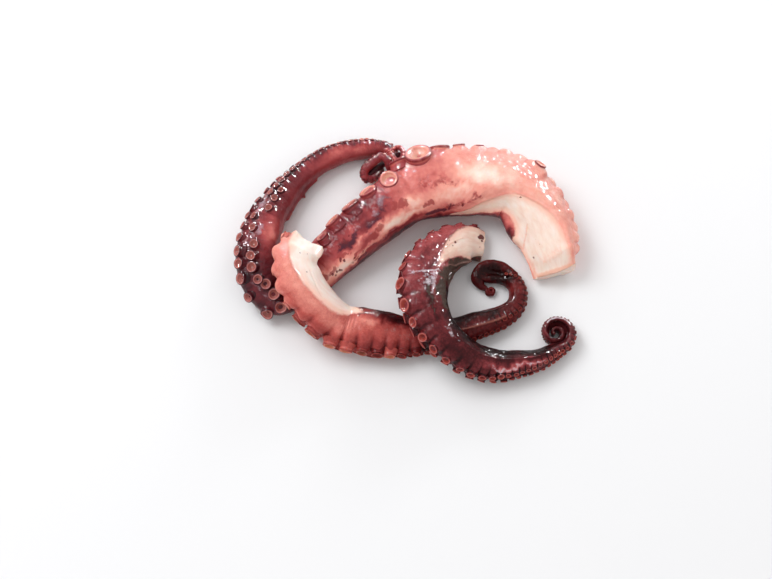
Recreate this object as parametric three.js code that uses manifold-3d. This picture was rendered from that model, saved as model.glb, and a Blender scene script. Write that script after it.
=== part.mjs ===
import * as THREE from 'three';
import { mergeVertices } from 'three/addons/utils/BufferGeometryUtils.js';
import Module from 'manifold-3d';

// Three boiled octopus arms, cut from the body and laid over one another on the plane z = 0.
// Millimetres, +Z up, the origin on the plane under the middle of the group's box.
// Every arm is one closed solid: a tapering body swept along its route, cut slantwise at the
// thick end, with two rows of cup-shaped suckers fused along its oral side.

const wasm = await Module();
wasm.setup();

// Shape of a cross section, shared by all the arms.
const sectionPower = 2.25; // superellipse power: 2 is an ellipse, higher is fuller
const bellyShare = 0.53; // half height of the uncut section, as a share of the arm's height
const centreShare = 0.47; // height of the section's centre above what the arm lies on
const columns = 12; // corners round a section
const sectionStep = 0.27; // distance between sections, as a share of the arm's width
const shortestStep = 1.8;
const longestStep = 7;
const capShrink = 0.86; // the end faces have a rounded rim
const capBulge = 1.2;
const bladeMargin = 3;
const samplesPerStation = 24;
const groundSize = 400; // the block that takes off what would lie below the plane
const groundDepth = 40;

// Suckers: flared cups on short stalks, as shares of their own diameter.
const rowSpread = 27; // degrees from the middle of the oral side to each row
const cupTilt = 0.45; // how far a cup turns from its own side towards the oral direction
const suckerPitch = 1.14;
const stalkRadius = 0.36;
const stalkDepth = 0.5;
const rimHeight = 0.2;
const hollowRadius = 0.33;
const hollowFloor = 0.06;
const lipHeight = 0.22; // the inner lip of a large sucker
const smallestSucker = 4.8; // finer ones are left out of the solid
const largeSucker = 10;
const largeSides = 10;
const smallSides = 6;
const finestStep = 0.5; // least distance between two suckers
const cutClearance = 0.2; // radians between a sucker and the slanting cut

// A section is [x, y, underside, width, height, roll, sucker]: its place, how high it lies, its
// size, the sucker diameter, and the roll in degrees. Roll turns the oral side from the right of
// the way towards the tip (0) to the top (90) and on to the left (180).
const longArm = {
  name: 'arm_long',
  color: 0xc9776b,
  roughness: 0.35,
  sections: [
    [96, -13, 0, 31, 27, 0, 7.5],
    [93, 0, 0, 33, 29, 0, 8],
    [89.5, 14, 0, 37, 31, 2, 8.5],
    [82.5, 28.5, 0, 38.5, 32, 5, 9],
    [71.5, 41, 0, 40.5, 33, 8, 9],
    [54.5, 46.5, 0, 42, 33, 10, 9],
    [36, 47, 0, 43.5, 33, 14, 10.5],
    [18, 45, 0, 42.5, 33, 36, 17.5],
    [1, 38, 0, 37.5, 31, 48, 15.5],
    [-14, 26.5, 0, 34.5, 29, 30, 12],
    [-29.5, 13.5, 0, 33, 26, 25, 10.5],
    [-45, 0, 0, 31, 22, 35, 10],
    [-58.5, -12.5, 0, 30, 16, 70, 8.5],
    [-71, -22, 0, 29, 13.5, 100, 8],
    [-83, -24.5, 0, 28.5, 15.5, 120, 8],
    [-92, -15, 0, 27, 20.5, 126, 8.2],
    [-94, 1, 0, 26.5, 23, 130, 7.6],
    [-90, 17, 0, 24, 22, 134, 6.6],
    [-84, 31, 0, 20.5, 20, 140, 5.6],
    [-76, 44, 0, 17, 17.5, 146, 4.8],
    [-66.5, 55, 0, 15, 15.5, 150, 4.3],
    [-54, 65.2, 0, 14.7, 14.5, 154, 3.6],
    [-40, 71.8, 0, 13.8, 13, 156, 3.2],
    [-26, 74.8, 0, 12.2, 11.5, 156, 3],
    [-15, 75.4, 0, 9.6, 10, 150, 2.6],
    [-8.5, 73, 0, 7.6, 8, 130, 2.3],
    [-6.8, 67, 0, 6.3, 6.5, 100, 2],
    [-8, 61.5, 2.5, 5.2, 5.2, 60, 1.9],
    [-9.8, 59.5, 9.5, 4.6, 4.6, 30, 1.8],
    [-11.2, 62.5, 13, 4.8, 4.8, 0, 1.8],
    [-14.5, 65, 12.5, 5, 5, 0, 1.8],
    [-20, 62.5, 10, 5.4, 5.4, 0, 1.8],
    [-25, 58, 8, 5.2, 5.2, 0, 1.7],
    [-25.2, 53.4, 7, 4.6, 4.6, 0, 1.6],
    [-21, 53.2, 5.5, 4.2, 4.2, 0, 1.4],
    [-16.5, 58, 3.5, 3.6, 3.6, 0, 1.2],
    [-14, 61.5, 1.5, 2.4, 2.4, 0, 0.8],
  ],
  cut: { length: 108, angle: 118, turn: 55, depth: 0.91, power: 1.6 },
};

const middleArm = {
  name: 'arm_middle',
  color: 0xc06a60,
  roughness: 0.35,
  sections: [
    [-62.6, 0.9, 24.5, 25, 12, 0, 7],
    [-66.4, -7, 22.3, 27, 17.5, 0, 8.2],
    [-67.6, -16, 19.5, 27.6, 21.5, -4, 8.8],
    [-63.6, -28, 17.3, 27.6, 21.5, -8, 9],
    [-52.5, -39.5, 9.7, 27, 21.5, -12, 9],
    [-39.5, -47, 0, 26, 22, -14, 9],
    [-25, -50.5, 0, 26.5, 20, -14, 8.6],
    [-10, -52.5, 0, 26, 16, -8, 7.6],
    [5, -53.8, 0, 23, 13.5, 0, 6.6],
    [20, -53.2, 0, 19, 13, 20, 5.6],
    [34.8, -50.6, 0, 17.5, 13, 40, 4.9],
    [48.3, -46.2, 0, 17.5, 13, 50, 4.6],
    [61, -41.2, 0, 15, 12.5, 45, 4.3],
    [70, -33.8, 0, 12.2, 12, 30, 3.6],
    [72, -23.8, 0, 11.6, 12, 25, 3],
    [67.5, -16, 0, 11, 11.5, 60, 2.8],
    [60, -12.2, 0, 12.5, 11.5, 110, 2.6],
    [52.6, -11.6, 0, 12.8, 10.5, 150, 2.2],
    [47.6, -14.6, 0, 9.2, 8, 170, 1.6],
    [48.8, -19, 0, 5.4, 5.5, 180, 1.2],
  ],
  coil: {
    centre: [55, -22.4],
    start: 160,
    turns: 1.45,
    radius: [3, 0.7],
    width: [3, 1.1],
    height: [4, 3],
    sucker: [1, 0.4],
    roll: 180,
    sections: 8,
  },
  cut: { length: 79, angle: 122, turn: 46, depth: 0.56, power: 1 },
};

const shortArm = {
  name: 'arm_short',
  color: 0x7c3c3c,
  roughness: 0.3,
  sections: [
    [50.2, 6.3, 0, 21, 15.5, 0, 5],
    [41, 6.4, 0, 25.2, 20.5, 4, 5.4],
    [30.5, 3, 1.5, 27.8, 22, 11, 5.9],
    [20.8, -5.3, 5, 30, 22, 16, 6.8],
    [15.5, -15, 9, 31, 22, 18, 7.2],
    [13, -27, 14, 29.5, 21, 18, 7.2],
    [14, -40.8, 16.2, 26, 20, 18, 7],
    [19.8, -54, 16.2, 22.5, 18.5, 17, 6.6],
    [30, -65, 14, 20.5, 17, 16, 6.4],
    [43, -71.3, 5, 20, 16.5, 12, 6],
    [57, -73.4, 0, 19, 17, 8, 4.8],
    [71, -72.4, 0, 16.3, 15.5, 4, 3],
    [84, -69.3, 0, 13.5, 14, 2, 2.6],
    [94.5, -63.4, 0, 10.5, 12, 0, 2.4],
  ],
  coil: {
    centre: [95.6, -51.8],
    start: -52,
    turns: 1.75,
    radius: [9.6, 1.2],
    width: [7.6, 2],
    height: [11, 7],
    sucker: [2.4, 0.8],
    roll: 0,
    sections: 14,
  },
  cut: { length: 55, angle: 105, turn: 75, depth: 0.72, power: 1.2 },
};

// The thin side curl that closes into a ring against the long arm's tip: a round cord of
// falling radius through [x, y, z] points.
const sideCurl = {
  points: [
    [-12, 74, 5],
    [-7, 68.5, 8],
    [-3, 65.6, 10],
    [-1.6, 69, 10.5],
    [-3.6, 74.4, 9.5],
    [-8.5, 76, 7],
  ],
  radius: 1.5,
  sides: 6,
  steps: 14,
};

// A coil adds sections on a flat spiral whose radius falls from the first to the last.
function coilSections(coil) {
  const sections = [];
  for (let i = 0; i <= coil.sections; i++) {
    const part = i / coil.sections;
    const angle = THREE.MathUtils.degToRad(coil.start + 360 * coil.turns * part);
    const radius = THREE.MathUtils.lerp(...coil.radius, part ** 0.85);
    sections.push([
      coil.centre[0] + radius * Math.cos(angle),
      coil.centre[1] + radius * Math.sin(angle),
      0,
      THREE.MathUtils.lerp(...coil.width, part),
      THREE.MathUtils.lerp(...coil.height, part),
      coil.roll,
      THREE.MathUtils.lerp(...coil.sucker, part),
    ]);
  }
  return sections;
}

// Smooth curves through the sections: one for the place, one for the sizes, one for the roll.
function armCurves(arm) {
  const rows = arm.coil ? arm.sections.concat(coilSections(arm.coil)) : arm.sections;
  const through = (pick) => new THREE.CatmullRomCurve3(rows.map(pick), false, 'catmullrom', 0.5);
  return {
    count: rows.length - 1,
    place: through((row) => new THREE.Vector3(row[0], row[1], row[2])),
    size: through((row) => new THREE.Vector3(row[3], row[4], row[6])),
    roll: through((row) => new THREE.Vector3(row[5], 0, 0)),
  };
}

// Walks an arm and returns its sections one step apart, where stepOf gives the step from the
// section's width and sucker diameter. Each knows its distance along the plan from the cut end.
function walkArm(curves, stepOf) {
  const fine = [];
  const total = curves.count * samplesPerStation;
  for (let i = 0; i <= total; i++) {
    const t = i / total;
    const place = curves.place.getPoint(t);
    const size = curves.size.getPoint(t);
    const roll = curves.roll.getPoint(t).x;
    const last = fine[i - 1];
    const step = last ? Math.hypot(place.x - last.place.x, place.y - last.place.y) : 0;
    const distance = last ? last.distance + step : 0;
    const count = last ? last.count + step / stepOf(size.x, size.z) : 0;
    fine.push({ place, size, roll, distance, count });
  }
  const steps = Math.round(fine[total].count);
  const walked = [];
  let next = 0;
  for (let i = 0; i <= steps; i++) {
    const wanted = (fine[total].count * i) / steps;
    while (next < total - 1 && fine[next + 1].count < wanted) next++;
    const low = fine[next];
    const high = fine[next + 1];
    const part = THREE.MathUtils.clamp((wanted - low.count) / (high.count - low.count), 0, 1);
    walked.push({
      place: low.place.clone().lerp(high.place, part),
      size: low.size.clone().lerp(high.size, part),
      roll: THREE.MathUtils.lerp(low.roll, high.roll, part),
      distance: THREE.MathUtils.lerp(low.distance, high.distance, part),
    });
  }
  return withFrames(walked);
}

// Gives each section its centre and the frame of its plane: side points to the right of the way,
// rise points up, along points to the tip.
function withFrames(walked) {
  const up = new THREE.Vector3(0, 0, 1);
  for (const section of walked) {
    section.centre = section.place.clone();
    section.centre.z += centreShare * section.size.y;
  }
  walked.forEach((section, i) => {
    const before = walked[Math.max(i - 1, 0)].centre;
    const after = walked[Math.min(i + 1, walked.length - 1)].centre;
    section.along = after.clone().sub(before).normalize();
    section.side = section.along.clone().cross(up).normalize();
    section.rise = section.side.clone().cross(section.along);
  });
  return walked;
}

// The point of the uncut section at an angle, in the section's plane.
function rimPoint(section, angle) {
  const c = Math.cos(angle);
  const s = Math.sin(angle);
  const full = (Math.abs(c) ** sectionPower + Math.abs(s) ** sectionPower) ** (-1 / sectionPower);
  return new THREE.Vector2((c * full * section.size.x) / 2, s * full * section.size.y * bellyShare);
}

// The slanting cut at the thick end: the angles between which the section is cut straight.
function cutSpan(arm, section) {
  const nearness = 1 - section.distance / arm.cut.length;
  if (nearness <= 0) return null;
  const middle = arm.cut.angle + arm.cut.turn * (1 - nearness) ** 2;
  const half = THREE.MathUtils.radToDeg(Math.acos(1 - arm.cut.depth * nearness ** arm.cut.power));
  return { from: THREE.MathUtils.degToRad(middle - half), to: THREE.MathUtils.degToRad(middle + half) };
}

// A point of a section's plane in space.
function placed(section, corner) {
  const point = section.centre.clone();
  point.addScaledVector(section.side, corner.x);
  return point.addScaledVector(section.rise, corner.y);
}

// The corners of one uncut section, flat underneath where the arm lies on something.
function bodyRing(section) {
  const ring = [];
  for (let j = 0; j < columns; j++) {
    const point = placed(section, rimPoint(section, ((j + 0.5) / columns) * Math.PI * 2));
    point.z = Math.max(point.z, section.place.z);
    ring.push(point);
  }
  return ring;
}

// The corners of the blade in one section: a straight edge along the cut, and the space past it.
function bladeRing(section, span) {
  const start = rimPoint(section, span.from);
  const end = rimPoint(section, span.to);
  const edge = end.clone().sub(start).normalize();
  const out = new THREE.Vector2(edge.y, -edge.x).negate();
  if (out.dot(start.clone().add(end)) < 0) out.negate();
  const push = rimPoint(section, (span.from + span.to) / 2).sub(start).dot(out) + bladeMargin;
  start.addScaledVector(edge, -bladeMargin);
  end.addScaledVector(edge, bladeMargin);
  const farEnd = end.clone().addScaledVector(out, push);
  const farStart = start.clone().addScaledVector(out, push);
  return [start, end, farEnd, farStart].map((corner) => placed(section, corner));
}

// The blade of the slanting cut, swept past the thick end of the arm.
function bladeSolid(arm, walked) {
  const cutSections = walked.filter((section) => cutSpan(arm, section));
  const rings = cutSections.map((section) => bladeRing(section, cutSpan(arm, section)));
  const overshoot = walked[0].along.clone().multiplyScalar(-bladeMargin);
  rings.unshift(rings[0].map((point) => point.clone().add(overshoot)));
  return solidOf(closedSkin(rings.map((ring) => ring.reverse())));
}

// A closed skin over rings of points, with a fan on each end.
function closedSkin(rings) {
  const points = [];
  const faces = [];
  const around = rings[0].length;
  for (const ring of rings) {
    for (const point of ring) points.push(point.x, point.y, point.z);
  }
  for (let i = 0; i + 1 < rings.length; i++) {
    for (let j = 0; j < around; j++) {
      const a = i * around + j;
      const b = i * around + ((j + 1) % around);
      faces.push(a, a + around, b, b, a + around, b + around);
    }
  }
  const ends = [rings[0], rings[rings.length - 1]];
  ends.forEach((ring, end) => {
    const middle = ring.reduce((sum, point) => sum.add(point), new THREE.Vector3());
    middle.divideScalar(around);
    const hub = points.length / 3;
    points.push(middle.x, middle.y, middle.z);
    const first = end === 0 ? 0 : (rings.length - 1) * around;
    for (let j = 0; j < around; j++) {
      const a = first + j;
      const b = first + ((j + 1) % around);
      if (end === 0) faces.push(a, b, hub);
      else faces.push(b, a, hub);
    }
  });
  const geometry = new THREE.BufferGeometry();
  geometry.setAttribute('position', new THREE.Float32BufferAttribute(points, 3));
  geometry.setIndex(faces);
  return geometry;
}

// A closed geometry as a manifold solid.
function solidOf(geometry) {
  const bare = geometry.clone();
  bare.deleteAttribute('normal');
  bare.deleteAttribute('uv');
  const merged = mergeVertices(bare, 1e-4);
  const mesh = new wasm.Mesh({
    numProp: 3,
    vertProperties: Float32Array.from(merged.attributes.position.array),
    triVerts: Uint32Array.from(merged.index.array),
  });
  return new wasm.Manifold(mesh);
}

// A smaller copy of an end ring, pushed out along the arm to round the end.
function capRing(ring, along, push) {
  const middle = ring.reduce((sum, point) => sum.add(point), new THREE.Vector3());
  middle.divideScalar(ring.length);
  return ring.map((point) => {
    const inner = middle.clone().lerp(point, capShrink).addScaledVector(along, push);
    if (point.z < middle.z) inner.z = point.z;
    return inner;
  });
}

// The body of an arm, without its suckers.
function bodySolid(arm, curves) {
  const step = (width) => THREE.MathUtils.clamp(width * sectionStep, shortestStep, longestStep);
  const walked = walkArm(curves, step);
  const tip = walked[walked.length - 1];
  const rings = walked.map(bodyRing);
  rings.unshift(capRing(rings[0], walked[0].along, -capBulge));
  rings.push(capRing(rings[rings.length - 1], tip.along, tip.size.x / 4));
  return solidOf(closedSkin(rings)).subtract(bladeSolid(arm, walked));
}

// One sucker of a diameter: a lathed stalk that flares to a rim round a shallow hollow.
function suckerGeometry(diameter) {
  const large = diameter > largeSucker;
  const outline = [
    [0, -stalkDepth],
    [stalkRadius, -stalkDepth],
    [0.5, rimHeight],
    [0, hollowFloor],
  ];
  if (large) outline.splice(3, 0, [hollowRadius, lipHeight]);
  const profile = outline.map(([radius, height]) => new THREE.Vector2(radius, height));
  profile.forEach((point) => point.multiplyScalar(diameter));
  const cup = new THREE.LatheGeometry(profile, large ? largeSides : smallSides);
  cup.rotateX(Math.PI / 2);
  return cup;
}

// Both rows of suckers of an arm, as solids in place. The rows alternate along the arm.
function suckerSolids(arm, curves) {
  const walked = walkArm(curves, (width, sucker) => {
    return Math.max((sucker * suckerPitch) / 2, finestStep);
  });
  const solids = [];
  walked.forEach((section, i) => {
    const diameter = section.size.z;
    if (i === 0 || diameter < smallestSucker) return;
    const turn = i % 2 === 0 ? rowSpread : -rowSpread;
    const angle = THREE.MathUtils.degToRad(section.roll + turn);
    const span = cutSpan(arm, section);
    if (span && angle > span.from - cutClearance && angle < span.to + cutClearance) return;
    const foot = rimPoint(section, angle);
    const aim = THREE.MathUtils.degToRad(section.roll + turn * (1 - cupTilt));
    const outward = section.side.clone().multiplyScalar(Math.cos(aim));
    outward.addScaledVector(section.rise, Math.sin(aim));
    const cup = suckerGeometry(diameter);
    const pose = new THREE.Matrix4().makeBasis(
      section.along,
      outward.clone().cross(section.along),
      outward,
    );
    cup.applyMatrix4(pose.setPosition(placed(section, foot)));
    solids.push(solidOf(cup));
  });
  return solids;
}

// A round cord of points, closed at both ends.
function cordSolid(cord) {
  const curve = new THREE.CatmullRomCurve3(cord.points.map((point) => new THREE.Vector3(...point)));
  const outline = new THREE.Shape();
  outline.absarc(0, 0, cord.radius, 0, Math.PI * 2);
  const tube = new THREE.ExtrudeGeometry(outline, {
    curveSegments: cord.sides,
    steps: cord.steps,
    extrudePath: curve,
    bevelEnabled: false,
  });
  return solidOf(tube);
}

// What an arm lies on: everything below the plane is taken off.
function groundSolid() {
  const ground = new THREE.BoxGeometry(groundSize, groundSize, groundDepth);
  ground.translate(0, 0, -groundDepth / 2);
  return solidOf(ground);
}

function meshOf(arm, solid) {
  const result = solid.getMesh();
  const geometry = new THREE.BufferGeometry();
  geometry.setAttribute('position', new THREE.BufferAttribute(result.vertProperties, 3));
  geometry.setIndex(new THREE.BufferAttribute(result.triVerts, 1));
  geometry.computeVertexNormals();
  const material = new THREE.MeshStandardMaterial({
    color: arm.color,
    roughness: arm.roughness,
    metalness: 0,
  });
  const mesh = new THREE.Mesh(geometry, material);
  mesh.name = arm.name;
  return mesh;
}

function armMesh(arm, extras) {
  const curves = armCurves(arm);
  let solid = bodySolid(arm, curves);
  for (const piece of suckerSolids(arm, curves).concat(extras)) solid = solid.add(piece);
  return meshOf(arm, solid.subtract(groundSolid()));
}

const octopus = new THREE.Group();
octopus.add(armMesh(longArm, [cordSolid(sideCurl)]));
octopus.add(armMesh(middleArm, []));
octopus.add(armMesh(shortArm, []));

// The sections are laid out round the crossings of the arms. This brings the middle of the
// whole over the origin.
const middle = new THREE.Box3().setFromObject(octopus).getCenter(new THREE.Vector3());
octopus.position.set(-middle.x, -middle.y, 0);

export default octopus;
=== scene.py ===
import math
import bmesh
import bpy
import numpy as np
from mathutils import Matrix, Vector


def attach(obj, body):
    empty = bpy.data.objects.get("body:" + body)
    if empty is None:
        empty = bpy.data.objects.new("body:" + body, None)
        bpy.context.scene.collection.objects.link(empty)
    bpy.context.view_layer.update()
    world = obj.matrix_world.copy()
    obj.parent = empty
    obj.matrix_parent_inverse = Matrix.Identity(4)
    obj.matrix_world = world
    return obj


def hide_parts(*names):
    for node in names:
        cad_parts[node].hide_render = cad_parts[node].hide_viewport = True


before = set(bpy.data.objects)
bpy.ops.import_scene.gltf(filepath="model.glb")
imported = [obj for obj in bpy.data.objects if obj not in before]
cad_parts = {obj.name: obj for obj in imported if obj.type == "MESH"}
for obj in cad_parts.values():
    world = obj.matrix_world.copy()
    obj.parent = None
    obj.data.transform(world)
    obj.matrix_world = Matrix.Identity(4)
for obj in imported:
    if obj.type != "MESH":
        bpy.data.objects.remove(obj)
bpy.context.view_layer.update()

print("frame loaded:", len(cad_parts), "nodes")

# Three boiled octopus arms. Lengths are in millimetres until a mesh is made, angles in degrees.
# An arm's section row is [x, y, underside, width, height, roll, sucker]. The roll turns the
# sucker side from the right of the way to the tip (0) over the top (90) to the left (180).
# A patch is [distance from the cut end, angle, half length, half angle, amount].
# The tables from cupLift to pigment are [distance, value], straight between their rows: how far
# a sucker stands out and how high the lobe under it is (pillar), both in diameters, the scale of
# the suckers, how deep their bowls are (0 to 1), how narrow the lobe is (lobe), how far it runs
# down the side (flank, in diameters), how dark the painted shade is in the clefts beside it, and
# how dark the skin is.
metre = 0.001
planShift = (-0.783, 1.497)   # brings the middle of the plan over the frame's origin
sectionPower = 2.25           # superellipse: 2 is an ellipse, higher is fuller
bellyShare = 0.53             # half height of a section, as a share of the arm's height
centreShare = 0.47            # height of a section's centre above what it lies on, likewise
ringShare = 0.022             # step from ring to ring, as a share of the arm's width
ringLimits = (0.13, 0.62)     # the least and the greatest such step
fineRows = 40                 # measured rows for each section row

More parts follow.
